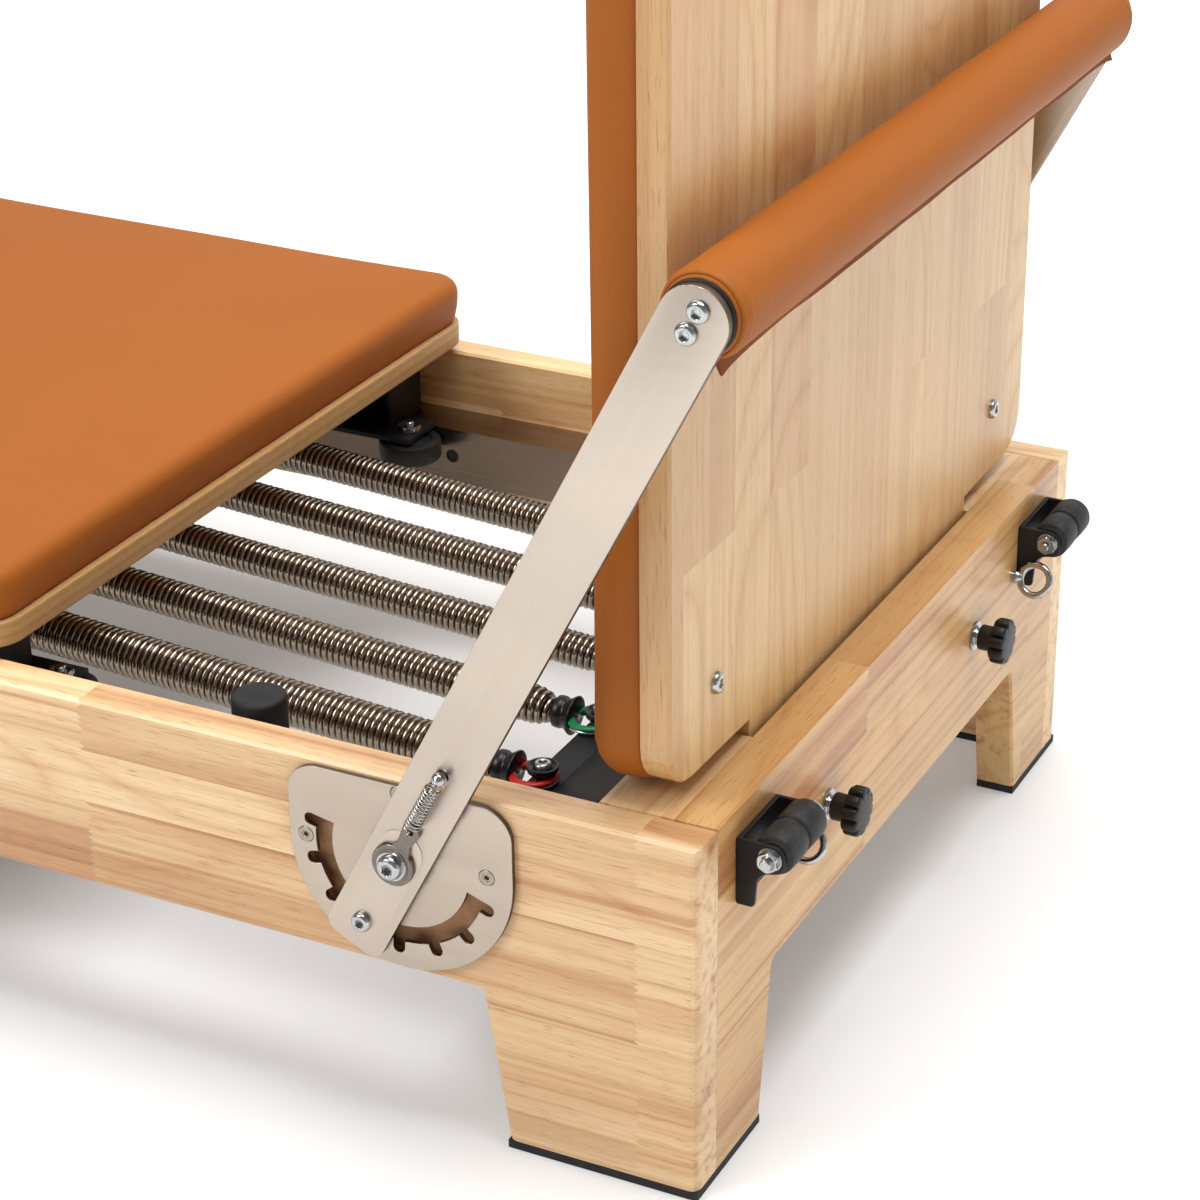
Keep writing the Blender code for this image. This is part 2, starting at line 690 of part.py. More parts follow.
def make_rollers():
    axis = (ROLLER_AXIS_X, ROLLER_AXIS_Z)
    ear_low = ROLLER_AXIS_Z - BRACKET_EAR
    cheek = rounded([(GAP, BRACKET_BOTTOM, 0), (BRACKET_DEPTH, BRACKET_BOTTOM, 0.002),
                     (BRACKET_DEPTH + 0.002, ear_low - 0.004, 0.010),
                     (ROLLER_AXIS_X + BRACKET_EAR, ear_low, 0.006),
                     (ROLLER_AXIS_X + BRACKET_EAR, BRACKET_TOP, 0.009), (GAP, BRACKET_TOP, 0)], 5)
    for label, side in both_sides():
        middle = side * ROLLER_Y
        low, high = middle - BRACKET_HALF, middle + BRACKET_HALF
        back = box((GAP, low, BRACKET_BOTTOM), (GAP + BRACKET_PLATE, high, BRACKET_TOP))
        cheeks = [extruded("Y", cheek, low, low + BRACKET_PLATE),
                  extruded("Y", cheek, high - BRACKET_PLATE, high)]
        bolt = rod("Y", axis, ROLLER_BOLT_RADIUS, low - ROLLER_BOLT_END / 2, high + ROLLER_BOLT_END / 2, 8)
        outer = side * (ROLLER_Y + BRACKET_HALF)
        inner = side * (ROLLER_Y - BRACKET_HALF)
        nut = rod("Y", axis, ROLLER_BOLT_RADIUS * 1.75, min(outer, outer + side * ROLLER_BOLT_END),
                  max(outer, outer + side * ROLLER_BOLT_END), 6)
        head = rod("Y", axis, ROLLER_BOLT_RADIUS * 1.75, min(inner, inner - side * ROLLER_BOLT_END * 0.8),
                   max(inner, inner - side * ROLLER_BOLT_END * 0.8), 10)
        piece("roller_bracket_" + label, united(back, *cheeks, bolt, nut, head), BLACK_METAL)
        reach = BRACKET_HALF - BRACKET_PLATE - GAP
        bore = ROLLER_BOLT_RADIUS + RUNNING_GAP
        half_gap = 0.001
        profile = [(bore, middle - reach), (ROLLER_RADIUS - 0.002, middle - reach),
                   (ROLLER_RADIUS, middle - reach + 0.002), (ROLLER_RADIUS, middle - half_gap * 2),
                   (ROLLER_RADIUS - 0.003, middle - half_gap), (ROLLER_RADIUS - 0.003, middle + half_gap),
                   (ROLLER_RADIUS, middle + half_gap * 2), (ROLLER_RADIUS, middle + reach - 0.002),
                   (ROLLER_RADIUS - 0.002, middle + reach), (bore, middle + reach)]
        piece("transport_roller_" + label, turned("Y", axis, profile), BLACK_RUBBER,
              (axis[0], middle, axis[1]))


# Foot bar and its latch

def notched_channel():
    """Outline of the curved channel and its notches about the pivot."""
    lock = ARM_ANGLE + math.pi
    angles = [lock + NOTCH_STEP * k for k in range(-NOTCHES_FRONT, NOTCHES_BACK + 1)]
    half = NOTCH_WIDTH / 2
    at_inner, at_outer = math.asin(half / CHANNEL_INNER), math.asin(half / CHANNEL_OUTER)
    outline = []
    for i, angle in enumerate(angles):
        if i > 0:
            outline += arc((0, 0), CHANNEL_OUTER, angles[i - 1] + at_outer, angle - at_outer, 3)
        tip = turned_outline(arc((NOTCH_REACH - half, 0), half, -math.pi / 2, math.pi / 2, 4), angle, (0, 0))
        outline += tip
    outline += arc((0, 0), CHANNEL_INNER, angles[-1] + at_inner, angles[0] - at_inner, 14)
    return outline


def make_quadrant_plate(label, side):
    pivot = (PIVOT_X, PIVOT_Z)
    shape = ([(-PLATE_RADIUS, 0.0)] + arc((0, 0), PLATE_RADIUS, -math.pi, 0.0, 16)[1:-1]
             + rounded([(PLATE_RADIUS, 0.0, 0), (PLATE_RADIUS, PLATE_TOP, PLATE_CORNER),
                        (-PLATE_RADIUS, PLATE_TOP, PLATE_CORNER), (-PLATE_RADIUS, 0.0, 0)], 5)[:-1])
    low, high = side * (HALF_WIDTH + GAP), side * PLATE_FACE
    plate = extruded("Y", turned_outline(shape, 0.0, pivot), min(low, high), max(low, high))
    deep = side * (HALF_WIDTH - PLATE_THICKNESS), side * (PLATE_FACE + PLATE_THICKNESS)
    cut(plate, extruded("Y", turned_outline(notched_channel(), 0.0, pivot), min(deep), max(deep)))
    head_low, head_high = LINK_OUTER + GAP, LINK_OUTER + GAP + 0.0065
    profile = [(0, side * (HALF_WIDTH - SLEEVE_LENGTH)), (SLEEVE_RADIUS, side * (HALF_WIDTH - SLEEVE_LENGTH)),
               (SLEEVE_RADIUS, side * (PLATE_FACE - PLATE_THICKNESS / 2)),
               (PIVOT_STUD, side * (PLATE_FACE - PLATE_THICKNESS / 2)), (PIVOT_STUD, side * head_low)]
    profile += button_head(HEAD_PIVOT, head_low, head_high, side)[1:]
    piece("quadrant_plate_" + label, united(plate, turned("Y", pivot, profile)), STEEL)


def along_arm(reach):
    return (PIVOT_X + reach * math.cos(ARM_ANGLE), PIVOT_Z + reach * math.sin(ARM_ANGLE))


def make_foot_bar_side(label, side):
    pivot = (PIVOT_X, PIVOT_Z)
    half = ARM_WIDTH / 2
    inner, outer = side * ARM_INNER, side * ARM_OUTER

    def flat(outline, first, second):
        return extruded("Y", turned_outline(outline, ARM_ANGLE, pivot), min(first, second),
                        max(first, second))
    outline = (arc((ARM_LENGTH, 0), half, -math.pi / 2, math.pi / 2, 10)
               + rounded([(ARM_LENGTH, half, 0), (-ARM_LOWER_END, half, ARM_CORNER),
                          (-ARM_LOWER_END, -half, ARM_CORNER), (ARM_LENGTH, -half, 0)], 4)[1:-1])
    arm = flat(outline, inner, outer)
    through = side * (ARM_INNER - ARM_THICKNESS), side * (ARM_OUTER + ARM_THICKNESS)
    window_end = SPRING_PIN_REACH
    cut(arm, flat(capsule(0.0, LATCH_TRAVEL, BUSH_RADIUS + RUNNING_GAP), *through),
        flat(capsule(WINDOW_START + WINDOW_WIDTH / 2, window_end, WINDOW_WIDTH / 2, 5), *through))
    lock = turned("Y", along_arm(-LOCK_PIN_REACH),
                  [(0, side * (HALF_WIDTH - POCKET_DEPTH * 0.75)),
                   (LOCK_PIN_RADIUS, side * (HALF_WIDTH - POCKET_DEPTH * 0.75)),
                   (LOCK_PIN_RADIUS, side * ARM_OUTER)]
                  + button_head(HEAD_SMALL, ARM_OUTER, ARM_OUTER + 0.0045, side)[1:], 12)
    ball_middle = ARM_OUTER + SPRING_BALL * 0.7
    ball = [(0, side * (ARM_INNER + 0.001)), (WINDOW_WIDTH / 2 + RUNNING_GAP, side * (ARM_INNER + 0.001)),
            (WINDOW_WIDTH / 2 + RUNNING_GAP, side * (ARM_OUTER - 0.001))]
    ball += [(SPRING_BALL * math.cos(a), side * (ball_middle + SPRING_BALL * math.sin(a)))
             for a in (math.radians(step) for step in (-20, 20, 55))] + [(0, side * (ball_middle + SPRING_BALL))]
    united(arm, lock, turned("Y", along_arm(SPRING_PIN_REACH), ball, 10))
    for offset in (-BAR_BOLT_PITCH / 2, BAR_BOLT_PITCH / 2):
        bolt = button_head(HEAD_SMALL, ARM_OUTER - 0.001, ARM_OUTER + 0.004, side)
        united(arm, turned("Y", along_arm(ARM_LENGTH + offset), bolt, 10))
    piece("foot_bar_arm_" + label, arm, STEEL, (PIVOT_X, 0.0, PIVOT_Z))

    bush = turned("Y", pivot, [(PIVOT_STUD + RUNNING_GAP, side * (PLATE_FACE + GAP)),
                               (BUSH_RADIUS, side * (PLATE_FACE + GAP)), (BUSH_RADIUS, side * LINK_OUTER),
                               (PIVOT_STUD + RUNNING_GAP, side * LINK_OUTER)], 20)
    neck_outline = (arc((LUG_REACH, 0), LUG_RADIUS, -math.pi / 2, math.pi / 2, 8)
                    + [(BUSH_RADIUS * 0.8, LUG_RADIUS * 1.15), (BUSH_RADIUS * 0.8, -LUG_RADIUS * 1.15)])
    neck = flat(neck_outline, side * (ARM_OUTER + GAP), side * LINK_OUTER)
    cut(neck, rod("Y", along_arm(LUG_REACH), LUG_HOLE, -1.0, 1.0, 8))
    piece("pivot_link_" + label, united(bush, neck), STEEL, (PIVOT_X, 0.0, PIVOT_Z))

    start, end = LUG_REACH + LUG_RADIUS + GAP * 2, SPRING_PIN_REACH - SPRING_BALL - GAP * 2
    points = coil(start, end, RETURN_RADIUS - RETURN_WIRE, RETURN_CURLS, RETURN_WIRE * 4, 8)
    middle = side * (ARM_OUTER + RETURN_RADIUS + GAP * 2)
    placed = []
    for run, across, up in points:
        u, v = turned_outline([(run, across)], ARM_ANGLE, pivot)[0]
        placed.append((u, middle + up, v))
    report_gap("return spring", placed, RETURN_WIRE, 8)
    piece("return_spring_" + label, tube(placed, RETURN_WIRE), SPRING_STEEL)


def make_foot_bar():
    centre = along_arm(ARM_LENGTH)
    for label, side in both_sides():
        make_quadrant_plate(label, side)
        make_foot_bar_side(label, side)
    end, flange = ARM_INNER - GAP, ARM_INNER - GAP - BAR_FLANGE
    profile = [(0, -end), (BAR_FLANGE_RADIUS, -end), (BAR_FLANGE_RADIUS, -flange), (BAR_TUBE_RADIUS, -flange),
               (BAR_TUBE_RADIUS, flange), (BAR_FLANGE_RADIUS, flange), (BAR_FLANGE_RADIUS, end), (0, end)]
    piece("foot_bar_tube", turned("Y", centre, profile, 20), BLACK_METAL, (PIVOT_X, 0.0, PIVOT_Z))
    reach, bore = flange - GAP, BAR_TUBE_RADIUS + GAP
    rim = 0.004
    profile = [(bore, -reach), (ROLL_RADIUS - rim, -reach), (ROLL_RADIUS, -reach + rim),
               (ROLL_RADIUS, reach - rim), (ROLL_RADIUS - rim, reach), (bore, reach)]
    piece("foot_bar_roll", turned("Y", centre, profile, 24), LEATHER, (PIVOT_X, 0.0, PIVOT_Z))


# Springs

def coil(start, end, radius, curls, lead, per_curl):
    """(run, across, up) of a wire that leaves the axis, winds round it and comes back to it."""
    points = [(start, 0.0, 0.0), (start + lead / 2, 0.0, 0.0)]
    total = curls * per_curl
    first, last = start + lead, end - lead
    for i in range(total + 1):
        turn = math.tau * i / per_curl
        run = first + (last - first) * i / total
        points.append((run, radius * math.cos(turn), radius * math.sin(turn)))
    return points + [(end - lead / 2, 0.0, 0.0), (end, 0.0, 0.0)]


def report_gap(name, points, wire, per_curl):
    """Prints the least gap of a wire to itself, curl to curl."""
    places = [Vector(point) for point in points]
    apart = min((places[i] - places[j]).length for i in range(len(places))
                for j in range(i + per_curl // 2 + 1, len(places)))
    print(f"{name}: least gap to itself {(apart - 2 * wire) * 1000:.2f} mm")


def make_springs():
    slope = Vector((-1, 0, SPRING_SLOPE)).normalized()
    ring_centre = Vector((RING_X, 0, RING_Z))
    for index in range(SPRING_COUNT):
        y = (index - (SPRING_COUNT - 1) / 2) * SPRING_PITCH_Y
        ring = torus(ring_centre + Vector((0, y, 0)), RING_RADIUS, RING_WIRE)
        handle_start, handle_end = HANDLE_START + RING_X, HANDLE_START + HANDLE_LENGTH + RING_X

        def on_axis(run, across=0.0, up=0.0):
            base = ring_centre + Vector((0, y, 0)) + slope * run
            return base + Vector((0, across, 0)) + Vector((SPRING_SLOPE, 0, 1)).normalized() * up
        knob = knob_solid(on_axis, handle_start, handle_end)
        shank = RING_RADIUS - RING_WIRE * 0.5
        coil_start = SPRING_START + RING_X
        hook_end = -(HOOK_X + HOOK_BAR + GAP * 2) + RING_X
        radius = SPRING_RADII[index] - SPRING_WIRE
        points = [Vector(on_axis(shank)), Vector(on_axis(handle_start + (coil_start - handle_start) * 0.5))]
        wound = coil(coil_start, hook_end, radius, SPRING_CURLS, SPRING_WIRE * 4, 8)
        points += [on_axis(*point) for point in wound]
        report_gap("spring " + str(index + 1), points[4:-2], SPRING_WIRE, 8)
        spring = united(tube(points, SPRING_WIRE), knob, ring)
        piece("spring_" + str(index + 1), spring, SPRING_STEEL)


def knob_solid(on_axis, start, end):
    """Hourglass handle with a flare towards the ring, about the spring's axis."""
    length = end - start
    waist = (HANDLE_SLIM + HANDLE_WIDE) / 2
    profile = [(0.0, 0.0), (HANDLE_WIDE * 0.92, 0.0), (HANDLE_WIDE, length * 0.12), (HANDLE_SLIM, length * 0.48),
               (waist * 0.95, length * 0.62), (waist, length * 0.92), (waist * 0.9, length), (0.0, length)]
    bm = bmesh.new()
    rings = []
    steps = 8
    for radius, run in profile[1:-1]:
        rings.append([bm.verts.new(on_axis(start + run, radius * math.cos(math.tau * k / steps),
                                           radius * math.sin(math.tau * k / steps))) for k in range(steps)])
    for lower, upper in zip(rings, rings[1:]):
        for i in range(steps):
            j = (i + 1) % steps
            bm.faces.new((lower[i], lower[j], upper[j], upper[i]))
    bm.faces.new(rings[0])
    bm.faces.new(rings[-1])
    return solid(bm)


def torus(centre, radius, wire, around=12, sides=6):
    """A ring lying flat about Z."""
    bm = bmesh.new()
    loops = []
    for i in range(around):
        turn = math.tau * i / around
        out = Vector((math.cos(turn), math.sin(turn), 0))
        loops.append([bm.verts.new(centre + out * (radius + wire * math.cos(math.tau * k / sides))
                                   + Vector((0, 0, wire * math.sin(math.tau * k / sides))))
                      for k in range(sides)])
    for i, loop in enumerate(loops):
        following = loops[(i + 1) % around]
        for k in range(sides):
            j = (k + 1) % sides
            bm.faces.new((loop[k], loop[j], following[j], following[k]))
    return solid(bm)


def make_spring_bar():
    """Folded plate under the plank, with a post and cap for each spring's ring."""
    flange_z = PLANK_BOTTOM - GAP
    inner_end = JUMP_BACK - NOTCH_SLACK - BATTEN_THICKNESS - NOTCH_SLACK
    half = TRACK_INNER - GAP
    outline = [(inner_end, flange_z), (-BAR_SLOPE_TOP, flange_z), (-BAR_FOLD, BAR_LIP_Z),
               (-BAR_LIP_FRONT, BAR_LIP_Z), (-BAR_LIP_FRONT, BAR_LIP_Z - BAR_PLATE),
               (-BAR_FOLD + BAR_PLATE * 0.3, BAR_LIP_Z - BAR_PLATE),
               (-BAR_SLOPE_TOP + BAR_PLATE * 0.3, flange_z - BAR_PLATE), (inner_end, flange_z - BAR_PLATE)]
    plate = extruded("Y", outline, -half, half)
    cap_low = RING_Z + RING_WIRE + GAP * 2
    cap_high = cap_low + POST_CAP_HEIGHT
    profile = [(0, BAR_LIP_Z - BAR_PLATE / 2), (POST_RADIUS, BAR_LIP_Z - BAR_PLATE / 2), (POST_RADIUS, cap_low),
               (POST_CAP_RADIUS * 0.8, cap_low), (POST_CAP_RADIUS, cap_low + POST_CAP_HEIGHT * 0.4),
               (POST_CAP_RADIUS, cap_high)]
    profile += button_head(HEAD_SMALL, cap_high, cap_high + 0.003, 1)[1:]
    for index in range(SPRING_COUNT):
        y = (index - (SPRING_COUNT - 1) / 2) * SPRING_PITCH_Y
        united(plate, turned("Z", (POST_X, y), profile, 8))
    piece("spring_bar", plate, BLACK_METAL)


# Tracks

def make_tracks():
    for label, side in both_sides():
        wall, lip = side * (RAIL_INNER - GAP), side * TRACK_INNER
        under = side * (TRACK_INNER + TRACK_THICKNESS)
        ledge, low = TRACK_LEDGE_Z, TRACK_LEDGE_Z - TRACK_DROP
        outline = [(wall, ledge), (lip, ledge), (lip, low), (under, low), (under, ledge - TRACK_THICKNESS),
                   (wall, ledge - TRACK_THICKNESS)]
        foot = extruded("X", outline, FOLD_X + GAP / 2, -TRACK_START)
        hole = rod("Y", (-TRACK_HOLE_X, ledge - TRACK_DROP / 2), TRACK_HOLE_RADIUS, -1.0, 1.0)
        cut(foot, hole)
        middle = (-STOPPER_X, side * (TRACK_INNER + RAIL_INNER) / 2)
        stopper = [(0, ledge - TRACK_THICKNESS / 2), (STOPPER_RADIUS, ledge - TRACK_THICKNESS / 2),
                   (STOPPER_RADIUS, STOPPER_TOP - 0.006), (STOPPER_RADIUS * 0.8, STOPPER_TOP - 0.001),
                   (STOPPER_RADIUS * 0.4, STOPPER_TOP), (0, STOPPER_TOP)]
        piece("foot_track_" + label, united(foot, turned("Z", middle, stopper)), STEEL)
        head = extruded("X", outline, -FRAME_LENGTH + END_THICKNESS + GAP, FOLD_X - GAP / 2)
        piece("head_track_" + label, head, STEEL)


# Carriage

def carriage_outline(foot, head, half, radius):
    return rectangle((head, -half), (foot, half), radius, 6)


def wheel_places():
    """(label, wheel x, guide wheel x, direction towards the carriage's middle)."""
    foot_wheel = -CARRIAGE_FOOT - WHEEL_INSET
    head_wheel = CARRIAGE_HEAD + WHEEL_INSET
    return [("foot", foot_wheel, -CARRIAGE_FOOT - GUIDE_INSET, -1),
            ("head", head_wheel, CARRIAGE_HEAD + GUIDE_INSET, 1)]


def make_carriage():
    half = CARRIAGE_WIDTH / 2
    foot = -CARRIAGE_FOOT
    board = extruded("Z", carriage_outline(foot, CARRIAGE_HEAD, half, CARRIAGE_CORNER),
                     CARRIAGE_BOTTOM, CARRIAGE_TOP)
    piece("carriage_board", board, PLYWOOD)

    def pad_outline(inset):
        return rectangle((foot - CARRIAGE_PAD_LENGTH + inset, -half + inset), (foot - inset, half - inset),
                         max(CARRIAGE_CORNER - inset, 0.004), 5)
    layers = cushion_layers(pad_outline, CARRIAGE_TOP + GAP, CARRIAGE_TOP + CARRIAGE_PAD, PAD_CROWN, 0.002)
    piece("carriage_pad", lofted("Z", layers), LEATHER)
    make_chassis()
    for end, wheel_x, guide_x, _ in wheel_places():
        for label, side in both_sides():
            make_wheels(end, label, side, wheel_x, guide_x)


def make_wheels(end, label, side, wheel_x, guide_x):
    centre = (wheel_x, TRACK_LEDGE_Z + GAP + WHEEL_RADIUS)
    inner = CHASSIS_OUTER + CHASSIS_PLATE + GAP * 2
    bore = AXLE_RADIUS + RUNNING_GAP
    tread = 0.002
    profile = [(bore, side * inner), (WHEEL_RADIUS - tread, side * inner), (WHEEL_RADIUS, side * (inner + tread)),
               (WHEEL_RADIUS, side * (inner + WHEEL_WIDTH - tread)),
               (WHEEL_RADIUS - tread, side * (inner + WHEEL_WIDTH)), (bore, side * (inner + WHEEL_WIDTH))]
    name = "carriage_wheel_" + end + "_" + label
    piece(name, turned("Y", centre, profile), BLACK_RUBBER, (centre[0], side * inner, centre[1]))
    spot = (guide_x, side * GUIDE_Y)
    profile = [(bore, GUIDE_TOP - GUIDE_WIDTH), (GUIDE_RADIUS - tread, GUIDE_TOP - GUIDE_WIDTH),
               (GUIDE_RADIUS, GUIDE_TOP - GUIDE_WIDTH + tread), (GUIDE_RADIUS, GUIDE_TOP - tread),
               (GUIDE_RADIUS - tread, GUIDE_TOP), (GUIDE_RADIUS * 0.55, GUIDE_TOP),
               (GUIDE_RADIUS * 0.5, GUIDE_TOP - tread), (bore, GUIDE_TOP - tread)]
    name = "guide_wheel_" + end + "_" + label
    piece(name, turned("Z", spot, profile), BLACK_RUBBER, (*spot, GUIDE_TOP))


def make_chassis():
    """Wheel brackets, the long angles that join them, cross members and the hook bar."""
    top = CARRIAGE_BOTTOM - GAP
    foot, head = -CARRIAGE_FOOT - GUIDE_INSET, CARRIAGE_HEAD + GUIDE_INSET
    low = GUIDE_TOP + GAP * 8

    def block(x1, x2, y1, y2, z1, z2):
        return box((min(x1, x2), min(y1, y2), z1), (max(x1, x2), max(y1, y2), z2))
    parts = []
    for _, side in both_sides():
        inner, outer = side * CHASSIS_INNER, side * CHASSIS_OUTER
        edge = side * (CHASSIS_OUTER + CHASSIS_PLATE)
        parts.append(block(head, foot, inner, edge, top - CHASSIS_PLATE, top))
        for _, wheel_x, guide_x, direction in wheel_places():
            web = guide_x + direction * CHASSIS_WEB_SETBACK
            back = wheel_x + direction * WHEEL_RADIUS
            tongue = guide_x - direction * AXLE_RADIUS * 2
            parts.append(block(web, back, outer, edge, low, top))
            parts.append(block(tongue, back, inner, edge, low, low + CHASSIS_PLATE))
            parts.append(block(web, web + direction * CHASSIS_PLATE, side * CHASSIS_WEB_INNER,
                               side * CHASSIS_WEB_OUTER, low, top))
            axle_z = TRACK_LEDGE_Z + GAP + WHEEL_RADIUS
            axle_end = CHASSIS_OUTER + CHASSIS_PLATE + WHEEL_WIDTH + GAP * 4
            axle = [(0, side * (CHASSIS_OUTER - AXLE_RADIUS)), (AXLE_RADIUS * 1.6, side * (CHASSIS_OUTER - AXLE_RADIUS)),
                    (AXLE_RADIUS * 1.6, side * CHASSIS_OUTER), (AXLE_RADIUS, side * CHASSIS_OUTER),
                    (AXLE_RADIUS, side * axle_end), (AXLE_RADIUS * 1.8, side * axle_end),
                    (AXLE_RADIUS * 1.8, side * (axle_end + 0.003)), (0, side * (axle_end + 0.003))]
            parts.append(turned("Y", (wheel_x, axle_z), axle, 8))
            bottom = GUIDE_TOP - GUIDE_WIDTH
            post = [(0, bottom - 0.004), (AXLE_RADIUS * 1.6, bottom - 0.004), (AXLE_RADIUS * 1.6, bottom - GAP),
                    (AXLE_RADIUS, bottom - GAP), (AXLE_RADIUS, low + CHASSIS_PLATE),
                    (AXLE_RADIUS * 1.6, low + CHASSIS_PLATE), (AXLE_RADIUS * 1.6, low + CHASSIS_PLATE + 0.004),
                    (0, low + CHASSIS_PLATE + 0.004)]
            parts.append(turned("Z", (guide_x, side * GUIDE_Y), post, 8))
    half = CHASSIS_INNER + CHASSIS_PLATE
    cross = [foot - WHEEL_INSET, HOOK_X, head + WHEEL_INSET]
    for x in cross:
        parts.append(block(x - CROSS_WIDTH / 2, x + CROSS_WIDTH / 2, -half, half, top - CROSS_DEPTH, top))
    hook_low = spring_z(HOOK_X) - CHASSIS_PLATE * 2
    hook_half = SPRING_PITCH_Y * (SPRING_COUNT - 1) / 2 + SPRING_RADII[0]
    parts.append(block(HOOK_X - HOOK_BAR, HOOK_X + HOOK_BAR, -hook_half, hook_half, hook_low, top))
    piece("carriage_chassis", united(parts[0], *parts[1:]), BLACK_METAL)


def spring_z(x):
    return RING_Z + SPRING_SLOPE * (RING_X - x)


def make_rests():
    base = CARRIAGE_TOP + GAP
    for label, side in both_sides():
        middle = side * REST_Y
        low, high = middle - REST_WIDTH / 2, middle + REST_WIDTH / 2

        def block(inset):
            return rectangle((-REST_X - REST_DEPTH / 2 + inset, low + inset),
                             (-REST_X + REST_DEPTH / 2 - inset, high - inset), REST_DEPTH / 2 - inset - 0.004, 5)
        top = base + REST_HEIGHT
        layers = [(block(0.003), base), (block(0.0), base + REST_HEIGHT * 0.15), (block(0.0), top - REST_HEIGHT * 0.2),
                  (block(0.004), top - REST_HEIGHT * 0.06), (block(0.013), top)]
        piece("shoulder_rest_" + label, lofted("Z", layers), LEATHER)
    front, back = -HEADREST_FRONT, -HEADREST_FRONT - HEADREST_LENGTH
    half = HEADREST_WIDTH / 2

    def pad(inset):
        return rectangle((back + inset, -half + inset), (front - inset, half - inset), 0.020 - min(inset, 0.016), 5)
    layers = cushion_layers(pad, base, base + HEADREST_THICKNESS, PAD_CROWN, 0.003)
    hinge = (front, 0.0, base)
    piece("headrest", lofted("Z", layers[:-1]), LEATHER, hinge)


# Head end

def make_pulleys():
    """Steel frame on the head end board with two uprights, and a rope pulley on each."""
    wall = -FRAME_LENGTH + END_THICKNESS + GAP
    half = PULLEY_Y + RISER_PLATE
    frame = box((wall, -half, RISER_FOOT), (wall + RISER_PLATE, half, FRAME_TOP))
    axle_x = wall + RISER_WIDTH / 2
    for label, side in both_sides():
        inner, outer = side * PULLEY_Y, side * half
        outline = rounded([(wall, RISER_FOOT, 0), (wall + RISER_WIDTH, RISER_FOOT, 0.008),
                           (wall + RISER_WIDTH, PULLEY_Z + RISER_WIDTH / 2, RISER_WIDTH / 2.1),
                           (wall, PULLEY_Z + RISER_WIDTH / 2, RISER_WIDTH / 2.1)], 5)
        riser = extruded("Y", outline, min(inner, outer), max(inner, outer))
        tip = PULLEY_Y - PULLEY_WIDTH - GAP * 4
        axle = [(0, side * (PULLEY_Y + 0.001)), (AXLE_RADIUS, side * (PULLEY_Y + 0.001)), (AXLE_RADIUS, side * tip),
                (AXLE_RADIUS * 1.7, side * tip), (AXLE_RADIUS * 1.7, side * (tip - 0.003)), (0, side * (tip - 0.003))]
        united(frame, riser, turned("Y", (axle_x, PULLEY_Z), axle, 8))
        bore, start = AXLE_RADIUS + RUNNING_GAP, PULLEY_Y - GAP * 2
        end = start - PULLEY_WIDTH
        middle = (start + end) / 2
        profile = [(bore, side * start), (PULLEY_RADIUS, side * start), (PULLEY_RADIUS, side * (start - 0.003)),
                   (PULLEY_RADIUS - PULLEY_GROOVE, side * middle), (PULLEY_RADIUS, side * (end + 0.003)),
                   (PULLEY_RADIUS, side * end), (bore, side * end)]
        piece("pulley_" + label, turned("Y", (axle_x, PULLEY_Z), profile), BLACK_PLASTIC,
              (axle_x, side * middle, PULLEY_Z))
    piece("pulley_frame", frame, BLACK_METAL)


# Fold hinge

def make_fold_hinge():
    """Two leaves under the middle boards; the knuckles alternate and the pin is the foot leaf's."""
    leaf_top = RAIL_BOTTOM - GAP
    knuckle = HINGE_LENGTH / HINGE_KNUCKLES
    axis = (FOLD_X, HINGE_Z)
    leaves = {}
    for name, direction in (("foot", 1), ("head", -1)):
        near, far = FOLD_X + direction * (HINGE_RADIUS + GAP), FOLD_X + direction * HINGE_WIDTH
        leaves[name] = box((min(near, far), -HINGE_LENGTH / 2, leaf_top - HINGE_LEAF),
                           (max(near, far), HINGE_LENGTH / 2, leaf_top))
    for index in range(HINGE_KNUCKLES):
        name = "foot" if index % 2 == 0 else "head"
        direction = 1 if name == "foot" else -1
        low = -HINGE_LENGTH / 2 + index * knuckle + (GAP if index > 0 else 0)
        high = -HINGE_LENGTH / 2 + (index + 1) * knuckle - (GAP if index < HINGE_KNUCKLES - 1 else 0)
        barrel = rod("Y", axis, HINGE_RADIUS, low, high, 8)
        tongue = box((min(FOLD_X, FOLD_X + direction * HINGE_RADIUS * 2), low, leaf_top - HINGE_LEAF),
                     (max(FOLD_X, FOLD_X + direction * HINGE_RADIUS * 2), high, leaf_top))
        united(leaves[name], barrel, tongue)
    cut(leaves["head"], rod("Y", axis, HINGE_PIN + RUNNING_GAP, -1.0, 1.0, 8))
    united(leaves["foot"], rod("Y", axis, HINGE_PIN, -HINGE_LENGTH / 2 + GAP, HINGE_LENGTH / 2 - GAP, 8))
    for name, leaf in leaves.items():
        piece("fold_hinge_" + name, leaf, STEEL, (FOLD_X, 0.0, HINGE_Z))


make_frame()
make_plank()
make_jump_board()
make_clamp_knobs()
make_rollers()
make_foot_bar()
make_springs()
make_spring_bar()
make_tracks()
make_carriage()
make_rests()
make_pulleys()
make_fold_hinge()
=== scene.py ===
"""Dresses the folding pilates reformer's solids: timber, leather, steel, springs and small hardware."""
import math

import bmesh
import bpy
from bpy.props import FloatProperty, FloatVectorProperty, PointerProperty
from mathutils import Matrix, Vector, noise


